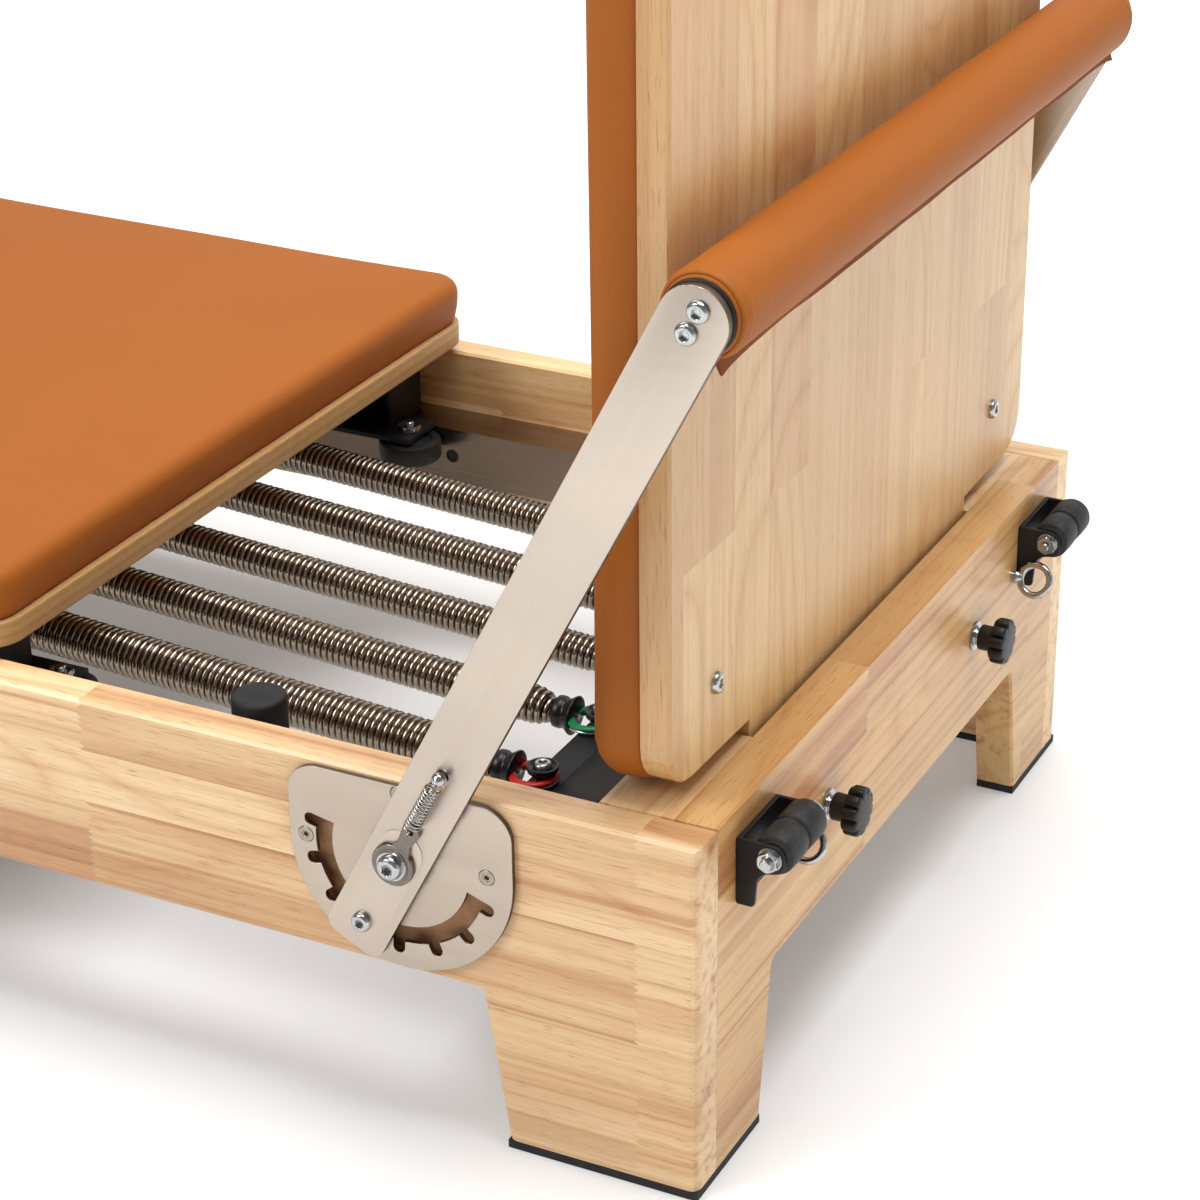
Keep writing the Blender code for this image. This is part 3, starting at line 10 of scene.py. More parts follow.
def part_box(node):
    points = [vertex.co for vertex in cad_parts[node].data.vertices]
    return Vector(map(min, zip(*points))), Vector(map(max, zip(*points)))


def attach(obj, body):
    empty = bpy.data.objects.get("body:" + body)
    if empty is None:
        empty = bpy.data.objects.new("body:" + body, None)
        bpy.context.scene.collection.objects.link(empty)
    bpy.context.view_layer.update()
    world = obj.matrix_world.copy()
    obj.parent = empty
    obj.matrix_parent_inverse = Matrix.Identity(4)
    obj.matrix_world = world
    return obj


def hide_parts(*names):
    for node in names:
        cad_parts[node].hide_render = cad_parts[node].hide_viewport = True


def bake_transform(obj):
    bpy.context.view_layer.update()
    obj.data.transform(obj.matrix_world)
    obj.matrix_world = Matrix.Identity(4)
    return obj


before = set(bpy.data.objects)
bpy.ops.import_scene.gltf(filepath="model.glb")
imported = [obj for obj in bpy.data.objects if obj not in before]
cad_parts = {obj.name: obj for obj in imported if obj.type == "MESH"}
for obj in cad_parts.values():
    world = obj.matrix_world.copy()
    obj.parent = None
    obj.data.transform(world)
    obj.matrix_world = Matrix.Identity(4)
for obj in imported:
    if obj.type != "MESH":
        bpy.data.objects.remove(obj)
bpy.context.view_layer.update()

bl_info = {
    "name": "Folding reformer dressing",
    "version": (1, 0, 0),
    "blender": (4, 5, 0),
    "location": "View3D > Sidebar > Reformer",
    "description": "Builds the visible skin and finishes of a folding pilates reformer",
    "category": "Object",
}

# The machine's own frame: X counts from the outer face of the foot end board
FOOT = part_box("foot_rail_near")[1].x
HALF_WIDTH = -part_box("foot_rail_near")[0].y
SIDES = (("near", -1), ("far", 1))
X, Y, Z = Vector((1, 0, 0)), Vector((0, 1, 0)), Vector((0, 0, 1))
QUARTER = math.pi / 2

# Latch and foot bar, with reaches counted along the arm from its pivot
PIVOT_X, PIVOT_Z = -0.208, 0.204
ARM_LENGTH, ARM_ANGLE = 0.452, math.radians(62.5)
ARM_WIDTH, ARM_THICKNESS = 0.044, 0.006
ARM_TAIL, ARM_CORNER = 0.077, 0.010
LOCK_REACH, BALL_REACH, HOOK_REACH = -0.0564, 0.081, 0.0785
PLATE_RADIUS, PLATE_TOP, PLATE_CORNER = 0.0815, 0.0525, 0.022
PLATE_THICKNESS = 0.004
CHANNEL = (0.050, 0.062)
POCKET, POCKET_WALL = (0.0464, 0.0748), 0.0013
NOTCH_REACH, NOTCH_WIDTH = 0.0712, 0.0086
NOTCH_STEP = math.radians(24.5)
NOTCHES = (-3, 4)
PLATE_FACE = HALF_WIDTH + 0.0043
ARM_INNER = PLATE_FACE + 0.001
ARM_OUTER = ARM_INNER + ARM_THICKNESS
SCREW_PLACES = ((-0.0695, 0.0005), (0.063, 0.002), (0.001, 0.047))

# Springs, with runs counted along a spring from its ring
RING_X, RING_Z = -0.1995, 0.1798
SPRING_SLOPE = 0.062
SPRING_Y = (-0.175, -0.0875, 0.0, 0.0875, 0.175)
SPRING_RADII = (0.0168, 0.0143, 0.0134, 0.0140, 0.0140)
SPRING_COATS = ("red", "green", "blue", "yellow", "red")
SPRING_START, SPRING_END = 0.0332, 0.509
DOME = 0.018
POST_X, LIP_Z = -0.1948, 0.176

# Boards, tracks and fittings
PAD_SAG = 0.0075
GUIDE_NUT_LIFT = 0.0066
TRACK_Y, RAIL_THICKNESS = 0.270, 0.0285
STOPPER_RADIUS, STOPPER_RIM = 0.01865, 0.0552
BRACKET_Y, BRACKET_REACH, BRACKET_THICKNESS = 0.255, 0.031, 0.003
BRACKET_LOW, BRACKET_HIGH = 0.1936, 0.241
KNOB_RADIUS, KNOB_LOBES, KNOB_HEAD = 0.0170, 10, 0.0152
PLY_PITCH = 0.0036
PLANK_THICKNESS, LEAF_THICKNESS, CLEARANCE = 0.022, 0.0025, 0.0003

# Places of small fittings, as (distance from the middle, height) or (X, height)
KNOB_PLACE, EYE_PLACE, JUMP_BOLT_PLACE = (0.138, 0.1885), (0.215, 0.204), (0.245, 0.323)
STOPPER_PLACE, GROMMET_PLACE = (-0.343, 0.208), (-0.515, 0.184)
PULLEY_BOLT_Y, FRAME_SCREW_HEIGHT = 0.170, 0.2425
FRAME_SCREWS = (-0.12, -0.04, 0.04, 0.12)
HINGE_SCREWS = (-0.27, -0.18, -0.09, 0.0, 0.09, 0.18, 0.27)


def linear(code):
    """An sRGB hex colour as linear red, green and blue."""
    parts = [int(code[i:i + 2], 16) / 255 for i in (0, 2, 4)]
    return tuple(p / 12.92 if p <= 0.04045 else ((p + 0.055) / 1.055) ** 2.4 for p in parts)


def scaled(colour, share):
    return [min(1, c * share) for c in colour]


# Settings

def tone(name, description, code):
    return FloatVectorProperty(name=name, description=description, subtype="COLOR", default=linear(code), min=0, max=1)


def distance(name, description, default, low, high):
    return FloatProperty(name=name, description=description, default=default, min=low, max=high,
                         subtype="DISTANCE", unit="LENGTH")


class TimberSettings(bpy.types.PropertyGroup):
    light: tone("Light wood", "Pale early wood of rubberwood under lacquer", "E8CAA0")
    dark: tone("Dark wood", "Brown streaks of rubberwood", "BE8556")
    # The jump board's tone is partly painted shade: its wood is darkened for its face turned away from the key light
    board: tone("Jump board wood", "Cooler, creamier wood of the jump board", "D8B783")
    stave: distance("Stave width", "Width of one glued stave", 0.052, 0.02, 0.12)


class LeatherSettings(bpy.types.PropertyGroup):
    colour: tone("Leather", "Orange-brown coated leather", "9E591D")
    grain: distance("Grain", "Width of one pebble of the embossed grain", 0.0011, 0.0004, 0.004)
    crown: distance("Crown", "Rise of a cushion's middle over its edge", 0.004, 0.0, 0.012)


class SpringSettings(bpy.types.PropertyGroup):
    wire: distance("Wire", "Radius of the main springs' wire", 0.0026, 0.001, 0.003)
    pitch: distance("Pitch", "Distance from one turn to the next", 0.0051, 0.003, 0.01)


class StageSettings(bpy.types.PropertyGroup):
    lens: FloatProperty(name="Lens", description="Focal length on a 36 mm wide sensor",
                        default=93.80, min=20, max=200, subtype="DISTANCE_CAMERA")
    sky: FloatProperty(name="Sky", description="Strength of the even studio light", default=0.33, min=0, max=3)


# Small tools

def spot(x, y, z):
    """A place in the machine's frame, X counted from the foot end."""
    return Vector((FOOT + x, y, z))


def linked(name, data):
    thing = bpy.data.objects.new(name, data)
    bpy.context.scene.collection.objects.link(thing)
    return thing


def made(name, bm, finish, sharp=35.0):
    bmesh.ops.remove_doubles(bm, verts=bm.verts, dist=1e-7)
    bmesh.ops.recalc_face_normals(bm, faces=bm.faces)
    mesh = bpy.data.meshes.new(name)
    bm.to_mesh(mesh)
    bm.free()
    mesh.materials.append(FINISHES[finish])
    mesh.shade_smooth()
    mesh.set_sharp_from_angle(angle=math.radians(sharp))
    return linked(name, mesh)


def skin(bm, loops, ends):
    """Faces from each loop to the next one. The ends are capped, joined to each other or left as they are."""
    for lower, upper in zip(loops, loops[1:] + loops[:1] if ends == "joined" else loops[1:]):
        steps = max(len(lower), len(upper))
        for k in range(steps):
            j = (k + 1) % steps
            corners = dict.fromkeys((lower[k % len(lower)], lower[j % len(lower)], upper[j % len(upper)],
                                     upper[k % len(upper)]))
            if len(corners) > 2:
                bm.faces.new(list(corners))
    if ends == "capped":
        bm.faces.new(loops[0])
        bm.faces.new(loops[-1])


def spun(name, centre, axis, rings, finish, steps=48, sharp=35.0):
    """A skin round an axis. Each ring is (radius, height); a radius may depend on the angle."""
    turn = Vector(axis).normalized().to_track_quat("Z", "Y").to_matrix()
    bm = bmesh.new()
    loops = []
    for radius, height in rings:
        if not callable(radius) and radius <= 0:
            loops.append([bm.verts.new(centre + turn @ Vector((0, 0, height)))])
            continue
        loop = []
        for k in range(steps):
            angle = math.tau * k / steps
            reach = radius(angle) if callable(radius) else radius
            loop.append(bm.verts.new(centre + turn @ Vector((reach * math.cos(angle), reach * math.sin(angle),
                                                             height))))
        loops.append(loop)
    skin(bm, loops, "joined" if len(loops[0]) > 1 else "open")
    return made(name, bm, finish, sharp)


def bit(centre, axis, rings, steps=48, finish="bright_zinc"):
    """A turned part of a piece that is joined later."""
    return spun("part", centre, axis, rings, finish, steps)


def flipped(rings):
    return [(radius, -height) for radius, height in reversed(rings)]


def meshed(name, curve, outlines, closed, finish, matrix=None, sharp=35.0):
    """Draws the outlines on a curve and turns it into a mesh piece."""
    for outline in outlines:
        spline = curve.splines.new("POLY")
        spline.points.add(len(outline) - 1)
        # A flat point gets its missing height, and every point the weight 1
        for knot, point in zip(spline.points, outline):
            knot.co = (*point, *(0, 1)[len(point) - 2:])
        spline.use_cyclic_u = closed
    draft = linked(name + "_draft", curve)
    mesh = bpy.data.meshes.new_from_object(draft.evaluated_get(bpy.context.evaluated_depsgraph_get()))
    bm = bmesh.new()
    bm.from_mesh(mesh)
    if matrix:
        bmesh.ops.transform(bm, matrix=matrix, verts=bm.verts)
    bpy.data.objects.remove(draft)
    bpy.data.curves.remove(curve)
    bpy.data.meshes.remove(mesh)
    return made(name, bm, finish, sharp)


def plate(name, outlines, origin, across, along, thickness, finish, bevel=0.0004, edge=None):
    """Flat plate with rounded edges: the first outline is its rim, the others are holes.
    edge is the finish of its cut sides, where that differs from its faces."""
    curve = bpy.data.curves.new(name, "CURVE")
    curve.dimensions, curve.fill_mode = "2D", "BOTH"
    curve.extrude = thickness / 2 - bevel
    curve.bevel_depth, curve.bevel_resolution = bevel, 2
    curve.offset = -bevel
    across, along = Vector(across).normalized(), Vector(along).normalized()
    turn = Matrix((across, along, across.cross(along))).transposed().to_4x4()
    piece = meshed(name, curve, outlines, True, finish, Matrix.Translation(origin) @ turn, 30.0)
    if edge:
        piece.data.materials.append(FINISHES[edge])
        normal = turn.to_3x3() @ Z
        for face in piece.data.polygons:
            face.material_index = int(abs(face.normal.dot(normal)) < 0.30)
    return piece


def wire(name, points, radius, finish, sides=2, closed=False):
    curve = bpy.data.curves.new(name, "CURVE")
    curve.dimensions = "3D"
    curve.bevel_depth, curve.bevel_resolution = radius, sides
    curve.use_fill_caps = not closed
    return meshed(name, curve, [points], closed, finish, sharp=70.0)


def joined(name, parts):
    """Several bodies of one finish as one piece."""
    bm = bmesh.new()
    material = parts[0].data.materials[0]
    for part in parts:
        bm.from_mesh(part.data)
        bpy.data.objects.remove(part)
    mesh = bpy.data.meshes.new(name)
    bm.to_mesh(mesh)
    bm.free()
    mesh.materials.append(material)
    return linked(name, mesh)


def hexagon(half_flat):
    return lambda angle: half_flat / math.cos((angle + math.pi / 6) % (math.pi / 3) - math.pi / 6)


def button_bolt(centre, axis, radius, height, embed=0.002):
    """Domed bolt head with a hexagon socket."""
    socket = hexagon(radius * 0.40)
    rings = [(0, -embed), (radius * 0.96, -embed), (radius, 0.0002), (radius, height * 0.16)]
    for step in range(1, 9):
        angle = QUARTER * step / 9
        rings.append((radius * 0.62 + radius * 0.38 * math.cos(angle),
                      height * 0.16 + height * 0.84 * math.sin(angle)))
    rings += [(radius * 0.56, height), (radius * 0.50, height), (socket, height - radius * 0.05),
              (socket, height - radius * 0.42), (0, height - radius * 0.46)]
    return spun("part", centre, axis, rings, "bright_zinc", 48, 28.0)


def sunk_screw(centre, axis, radius, finish="bright_zinc"):
    """Countersunk screw, flush with the plate round it."""
    socket = hexagon(radius * 0.33)
    rings = [(0, -0.003), (radius * 0.6, -0.003), (radius, -0.0006), (radius, -0.0001), (radius * 0.96, 0.0001),
             (radius * 0.52, 0.0001), (radius * 0.48, -0.0003), (socket, -0.0004), (socket, -0.0022), (0, -0.0024)]
    return spun("part", centre, axis, rings, finish, 48, 28.0)


def hex_nut(centre, axis, half_flat, height, bolt):
    """Chamfered nut with the end of its bolt standing out."""
    outer = hexagon(half_flat)
    rings = [(0, 0), (half_flat, 0), (lambda a: min(outer(a), half_flat * 1.12), 0.0004),
             (outer, height * 0.12), (outer, height * 0.86), (lambda a: min(outer(a), half_flat * 1.06), height),
             (bolt * 1.25, height), (bolt * 1.05, height - 0.0004), (bolt, height - 0.0004),
             (bolt, height + 0.0022), (bolt * 0.82, height + 0.003), (0, height + 0.003)]
    return spun("part", centre, axis, rings, "bright_zinc", 48, 28.0)


def arc(centre, radius, start, end, steps):
    turn = (end - start) / steps
    return [(centre[0] + radius * math.cos(start + turn * i),
             centre[1] + radius * math.sin(start + turn * i)) for i in range(steps + 1)]


def rounded(corners, steps=8):
    """An outline from (u, v, radius) corners, each with its fillet."""
    outline = []
    for i, (u, v, radius) in enumerate(corners):
        here = Vector((u, v))
        if radius <= 0:
            outline.append((u, v))
            continue
        before = (Vector(corners[i - 1][:2]) - here).normalized()
        after = (Vector(corners[(i + 1) % len(corners)][:2]) - here).normalized()
        half = before.angle(after) / 2
        centre = here + (before + after).normalized() * radius / math.sin(half)
        first = here + before * radius / math.tan(half) - centre
        last = here + after * radius / math.tan(half) - centre
        begin = math.atan2(first.y, first.x)
        sweep = (math.atan2(last.y, last.x) - begin + math.pi) % math.tau - math.pi
        outline += arc(centre, radius, begin, begin + sweep, steps)
    return outline


def circle(centre, radius, steps=40):
    return arc(centre, radius, 0, math.tau, steps)[:-1]


def capsule(start, end, radius, steps=14):
    return (arc((end, 0), radius, -QUARTER, QUARTER, steps)
            + arc((start, 0), radius, QUARTER, math.pi * 1.5, steps))


def extent(node):
    """Middle and half sizes of a node's box."""
    low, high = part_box(node)
    return (low + high) / 2, [(b - a) / 2 for a, b in zip(low, high)]


def put(piece, body, slot_name, *nodes):
    """Hangs a piece on its body and hides the solids that it stands for. Its slot_name is not used."""
    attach(piece, body)
    if nodes:
        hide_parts(*nodes)
    return piece


def strung(coil, node):
    """Bakes a spring's placement into its mesh and hides the solid that it stands for."""
    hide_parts(node)
    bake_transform(coil)


def dress(finish, *nodes):
    for name in nodes:
        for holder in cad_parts[name].material_slots:
            holder.material = FINISHES[finish]


# Finishes

FINISHES = {}


def add(tree, kind, inputs=None, stops=None, out=0, **settings):
    """Adds a node with its settings and gives its output, or all of them where out is None.
    An input given as a socket is linked to it."""
    node = tree.nodes.new("ShaderNode" + kind)
    for name, value in settings.items():
        setattr(node, name, value)
    for name, value in (inputs or {}).items():
        if isinstance(value, bpy.types.NodeSocket):
            tree.links.new(value, node.inputs[name])
        else:
            node.inputs[name].default_value = value
    if stops:
        elements = node.color_ramp.elements
        while len(elements) < len(stops):
            elements.new(0.5)
        for element, (place, colour) in zip(elements, stops):
            element.position = place
            element.color = (*colour, 1.0)
    return node.outputs if out is None else node.outputs[out]


def blank(name, **sockets):
    """A new material's tree, its shader with constant values on its sockets, and the place on the object."""
    material = bpy.data.materials.new(name)
    material.use_nodes = True
    tree = material.node_tree
    shader = tree.nodes["Principled BSDF"]
    for socket, value in sockets.items():
        shader.inputs[socket.replace("_", " ")].default_value = value
    FINISHES[name] = material
    return tree, shader, add(tree, "TexCoord", out="Object")


def surface(tree, shader, colour, height, depth, strength, gloss=None):
    """Gives a shader its colour, its relief and, from (value, low, high), its roughness."""
    tree.links.new(colour, shader.inputs["Base Color"])
    tree.links.new(add(tree, "Bump", {"Height": height, "Distance": depth, "Strength": strength}),
                   shader.inputs["Normal"])
    if gloss:
        tree.links.new(add(tree, "MapRange", dict(zip(("Value", "To Min", "To Max"), gloss))),
                       shader.inputs["Roughness"])


def lacquered_rubberwood(name, along, across, timber, stave, length, shift, blush, fingers):
    """Edge-glued rubberwood, sanded and lacquered satin: cream to honey staves that end in finger joints,
    soft brown streaks, here and there flames of growth rings, fine fibres and short dark pores."""
    tree, shader, place = blank(name, Roughness=0.36, Coat_Weight=0.20, Coat_Roughness=0.22,
                                Specular_IOR_Level=0.42)
    split = add(tree, "SeparateXYZ", {"Vector": place}, out=None)
    third = ({"X", "Y", "Z"} - {along, across}).pop()
    flat = add(tree, "CombineXYZ", {"X": split[along], "Y": split[across], "Z": split[third]})
    moved = add(tree, "VectorMath", {0: flat, 1: (*shift, 0.0)}, operation="ADD")
    # Staves of unlike widths, and teeth where one ends on the next
    wide = add(tree, "TexNoise", {"W": split[across], "Scale": 13.0, "Detail": 0.0}, noise_dimensions="1D")
    uneven = add(tree, "Math", {0: wide, 1: stave * 1.1}, operation="MULTIPLY")
    tooth = add(tree, "Math", {0: split[across], 1: 0.00225}, operation="PINGPONG")
    bite = add(tree, "Math", {0: tooth, 1: fingers}, operation="MULTIPLY")
    nudge = add(tree, "CombineXYZ", {"X": bite, "Y": uneven})
    cut = add(tree, "VectorMath", {0: moved, 1: nudge}, operation="ADD")
    chance = add(tree, "TexBrick", {
        "Vector": cut, "Color1": (0, 0, 0, 1), "Color2": (1, 1, 1, 1), "Mortar": (0.5, 0.5, 0.5, 1), "Scale": 1.0,
        "Mortar Size": 0.0, "Brick Width": length, "Row Height": stave}, offset=0.37, offset_frequency=2)
    stray = add(tree, "VectorMath", {0: chance, 1: (13.0, 29.0, 7.0)}, operation="MULTIPLY")

    def grain(scale, detail, roughness, distortion=0.0):
        """Noise drawn out along the staves, with scale in waves to the metre, and unlike on each stave."""
        stretched = add(tree, "VectorMath", {0: moved, 1: scale}, operation="MULTIPLY")
        placed = add(tree, "VectorMath", {0: stretched, 1: stray}, operation="ADD")
        return add(tree, "TexNoise", {"Vector": placed, "Scale": 1.0, "Detail": detail, "Roughness": roughness,
                                      "Distortion": distortion})
    # Fibres are 1.25 mm wide and pores 0.7 mm here, coarser than in the wood, so that they show
    fibres = grain((4.0, 800.0, 800.0), 1.0, 0.5)
    climb = add(tree, "Math", {0: grain((1.6, 6.5, 6.5), 1.0, 0.4, 0.5), 1: 15.0}, operation="MULTIPLY")
    waves = add(tree, "Math", {0: climb, 1: 0.5}, operation="PINGPONG")
    light, dark = timber
    middle = [a * 0.35 + b * 0.65 for a, b in zip(light, dark)]
    flamed = add(tree, "ValToRGB", {"Fac": chance}, ((0.45, (0.10, 0.10, 0.10)), (0.55, (0.85, 0.85, 0.85))))
    colour = add(tree, "ValToRGB", {"Fac": grain((1.0, 22.0, 22.0), 2.0, 0.5, 0.25)},
                 ((0.33, middle), (0.47, light), (0.60, light), (0.72, scaled(light, 1.06))))
    # Brown streaks, growth rings on the flamed staves, each stave's own tint, pores and fibres
    for value, share, stops in (
            (grain((0.9, 150.0, 150.0), 3.0, 0.45, 0.1), 1.0,
             ((0.28, [(d / l) * 0.75 + 0.25 for d, l in zip(dark, light)]), (0.45, (0.955, 0.925, 0.89)),
              (0.58, (1, 1, 1)))),
            (waves, flamed, ((0.0, (0.84, 0.73, 0.62)), (0.07, (0.92, 0.85, 0.77)), (0.30, (1, 1, 1)))),
            (chance, 1.0, ((0.0, (0.84, 0.74 - blush, 0.64)), (0.2, (1.0, 0.985, 0.96)),
                           (0.45, (0.89, 0.82 - blush, 0.73)), (0.7, (1.05, 1.05, 1.03)),
                           (1.0, (0.93, 0.84 - blush, 0.76)))),
            (grain((60.0, 1500.0, 1500.0), 0.0, 0.5), 1.0, ((0.23, (0.76, 0.64, 0.52)), (0.32, (1, 1, 1)))),
            (fibres, 1.0, ((0.30, (0.955, 0.93, 0.90)), (0.62, (1.02, 1.02, 1.02))))):
        layer = add(tree, "ValToRGB", {"Fac": value}, stops)
        colour = add(tree, "Mix", {"Factor": share, 6: colour, 7: layer}, out=2, data_type="RGBA",
                     blend_type="MULTIPLY")
    surface(tree, shader, colour, fibres, 0.00008, 0.4)


def coated_leather(leather, name="coated_leather", shade=1.0):
    """Coated upholstery leather: an even orange-brown with a fine embossed pebble and a dull sheen."""
    tree, shader, place = blank(name, Roughness=0.55, Specular_IOR_Level=0.16)
    clouds = add(tree, "TexNoise", {"Vector": place, "Scale": 7.0, "Detail": 3.0})
    pebbles = add(tree, "TexVoronoi", {"Vector": place, "Scale": 1.0 / leather.grain}, feature="F1")
    creases = add(tree, "TexNoise", {"Vector": place, "Scale": 240.0, "Detail": 4.0, "Roughness": 0.6})
    colour = Vector(leather.colour) * shade
    base = add(tree, "ValToRGB", {"Fac": clouds}, ((0.25, colour * 0.965), (0.5, colour), (0.8, colour * 1.03)))
    surface(tree, shader, base, add(tree, "Math", {0: pebbles, 1: creases}, operation="ADD"), 0.00022, 0.45)


def brushed_steel(name, code, roughness, angle, scratch):
    """Cold-rolled steel plate, ground along its length and plated: warm grey with a soft streaked gloss."""
    tree, shader, place = blank(name, Metallic=1.0, Roughness=roughness, Anisotropic=0.35)
    turned = add(tree, "Mapping", {"Vector": place, "Rotation": (0, angle, 0), "Scale": (12.0, scratch, scratch)})
    lines = add(tree, "TexNoise", {"Vector": turned, "Scale": 1.0, "Detail": 3.0})
    clouds = add(tree, "TexNoise", {"Vector": place, "Scale": 9.0, "Detail": 2.0})
    colour = add(tree, "ValToRGB", {"Fac": clouds}, ((0.3, scaled(linear(code), 0.94)),
                                                     (0.7, scaled(linear(code), 1.04))))
    surface(tree, shader, colour, lines, 0.00002, 0.5, (lines, roughness - 0.07, roughness + 0.09))


def plain_metal(name, code, roughness, speck=600.0):
    """Bright plated or drawn steel with faint handling marks in its gloss."""
    tree, shader, place = blank(name, Metallic=1.0, Roughness=roughness)
    marks = add(tree, "TexNoise", {"Vector": place, "Scale": speck, "Detail": 2.0})
    colour = add(tree, "ValToRGB", {"Fac": marks}, ((0.3, scaled(linear(code), 0.86)), (0.7, linear(code))))
    surface(tree, shader, colour, marks, 0.00001, 0.4, (marks, roughness * 0.7, roughness * 1.4))


def dark_surface(name, code, roughness, grit, depth, dusty, coat=0.0):
    """Moulded plastic, rubber, powder coat or bare routed wood: its own grit and a paler bloom of dust."""
    tree, shader, place = blank(name, Roughness=roughness, Coat_Weight=coat, Specular_IOR_Level=0.32)
    grain = add(tree, "TexNoise", {"Vector": place, "Scale": grit, "Detail": 2.0})
    bloom = add(tree, "TexNoise", {"Vector": place, "Scale": 90.0, "Detail": 5.0, "Roughness": 0.65})
    colour = add(tree, "ValToRGB", {"Fac": bloom}, ((0.4, linear(code)), (0.75, [c * dusty for c in linear(code)])))
    surface(tree, shader, colour, grain, depth, 0.5, (bloom, roughness - 0.08, roughness + 0.12))


def layered_plywood(name):
    """Bare plywood edge under clear lacquer: thin tan plies with darker glue lines between them."""
    tree, shader, place = blank(name, Roughness=0.5)
    plies = add(tree, "TexWave", {"Vector": place, "Scale": 1 / PLY_PITCH / 6.2832, "Distortion": 0.4, "Detail": 2.0,
                                  "Detail Scale": 0.3}, out="Fac", bands_direction="Z")
    fibres = add(tree, "TexNoise", {"Vector": place, "Scale": 160.0, "Detail": 4.0})
    bare = add(tree, "ValToRGB", {"Fac": plies}, ((0.0, linear("AC8450")), (0.3, linear("B48C58")),
                                                  (1.0, linear("BA925E"))))
    worn = add(tree, "ValToRGB", {"Fac": fibres}, ((0.3, (0.90, 0.88, 0.85)), (0.7, (1, 1, 1))))
    colour = add(tree, "Mix", {"Factor": 1.0, 6: bare, 7: worn}, out=2, data_type="RGBA", blend_type="MULTIPLY")
    surface(tree, shader, colour, fibres, 0.0001, 0.4)


# Steels as (name, colour, roughness, angle of the grinding, scratches to the metre)
STEELS = (("ground_steel_plate", "B6A99C", 0.34, 0.0, 500.0), ("ground_steel_arm", "BEB2A5", 0.32, ARM_ANGLE, 700.0),
          ("stainless_track", "9B8A7A", 0.24, 0.0, 400.0))
# Plated and drawn metals as (name, colour, roughness, marks to the metre)
# The cut-edge finish is the dark oxide of cut steel and, on the arms, also painted shade for the shadow gap beside them
METALS = (("cut_edge_oxide_and_painted_shade", "75675A", 0.42, 400.0), ("bright_zinc", "B9BABA", 0.20), ("dark_zinc", "7C756D", 0.30),
          ("dull_nickel", "A89C90", 0.34), ("spring_wire", "9F9385", 0.20, 300.0),
          ("fine_spring_wire", "C9C6C2", 0.18, 900.0))
# Matt surfaces as (name, colour, roughness, grains to the metre, their depth, share of dust, coat)
DARK_SURFACES = (("black_powder_coat", "171718", 0.46, 1500.0, 0.00006, 1.2),
                 ("moulded_black_plastic", "161616", 0.38, 900.0, 0.00004, 1.3),
                 ("polished_black_plastic", "0C0C0D", 0.32, 300.0, 0.00002, 1.2, 0.1),
                 ("black_rubber", "1C1C1C", 0.62, 700.0, 0.0001, 2.2),
                 ("worn_rubber", "201F1F", 0.55, 500.0, 0.00012, 3.2),
                 ("wheel_rubber", "151515", 0.45, 600.0, 0.00008, 1.8),
                 ("routed_wood", "B58964", 0.7, 900.0, 0.0003, 1.35))
# Colours of the rings, dipped in soft plastic
DIPS = (("red", "B01E1E"), ("green", "0B7A48"), ("blue", "1D4E9E"), ("yellow", "D9A81C"))


class REFORMER_OT_finishes(bpy.types.Operator):
    """Makes every finish and puts the timber, track and rubber ones on the solids that stay"""
    bl_idname = "reformer.finishes"
    bl_label = "Finishes"

    def execute(self, context):
        timber = context.scene.reformer_timber
        wide, honey = timber.stave, (timber.light, timber.dark)
        # The far rail and the plank get a brighter wood than the near rail, as painted light; the end boards a darker,
        # warmer one, as painted shade
        bright, warm = ([[c * t for c, t in zip(shade, scale)] for shade in honey]
                        for scale in ((1.10, 1.12, 1.05), (0.90, 0.82, 0.63)))
        # The jump board's wood pair, darkened in part as painted shade
        cream = (timber.board, [a * 0.5 + b * 0.5 for a, b in zip(timber.board, timber.dark)])
        for name, along, across, wood, stave, length, shift, blush, fingers in (
                ("rail", "X", "Z", honey, wide, 0.41, (0.12, 0.006), 0.0, 1.5),
                ("far_rail", "X", "Z", bright, wide, 0.37, (0.31, 0.013), 0.0, 1.5),
                ("end", "Y", "Z", warm, wide, 0.33, (0.07, 0.019), 0.02, 1.5),
                ("plank", "Y", "X", bright, wide, 0.45, (0.2, 0.03), 0.02, 0.0),
                ("jump_board", "Z", "Y", cream, 0.060, 0.36, (0.17, 0.01), 0.035, 0.0)):
            lacquered_rubberwood("rubberwood_" + name, along, across, wood, stave, length, shift, blush, fingers)
        coated_leather(context.scene.reformer_leather)
        # A copy darkened to 0.72, painted shade for the seam's lip under the roll
        coated_leather(context.scene.reformer_leather, "coated_leather_painted_shade", 0.72)
        for make, table in ((brushed_steel, STEELS), (plain_metal, METALS), (dark_surface, DARK_SURFACES)):
            for values in table:
                make(*values)
        for name, code in DIPS:
            dark_surface("dipped_coat_" + name, code, 0.36, 200.0, 0.00005, 1.15)
        layered_plywood("plywood_edge")
        dress("rubberwood_rail", "foot_rail_near", "head_rail_near")
        dress("rubberwood_far_rail", "foot_rail_far", "head_rail_far")
        dress("rubberwood_end", "foot_end_board", "head_end_board", "foot_middle_board", "head_middle_board")
        dress("rubberwood_plank", "foot_plank")
        dress("rubberwood_jump_board", "jump_board")
        dress("stainless_track", "foot_track_near", "foot_track_far", "head_track_near", "head_track_far")
        dress("ground_steel_plate", "fold_hinge_foot", "fold_hinge_head")
        dress("black_powder_coat", "carriage_chassis", "pulley_frame")
        dress("black_rubber", "foot_pad_near", "foot_pad_far", "head_pad_near", "head_pad_far")
        return {"FINISHED"}


# Pads

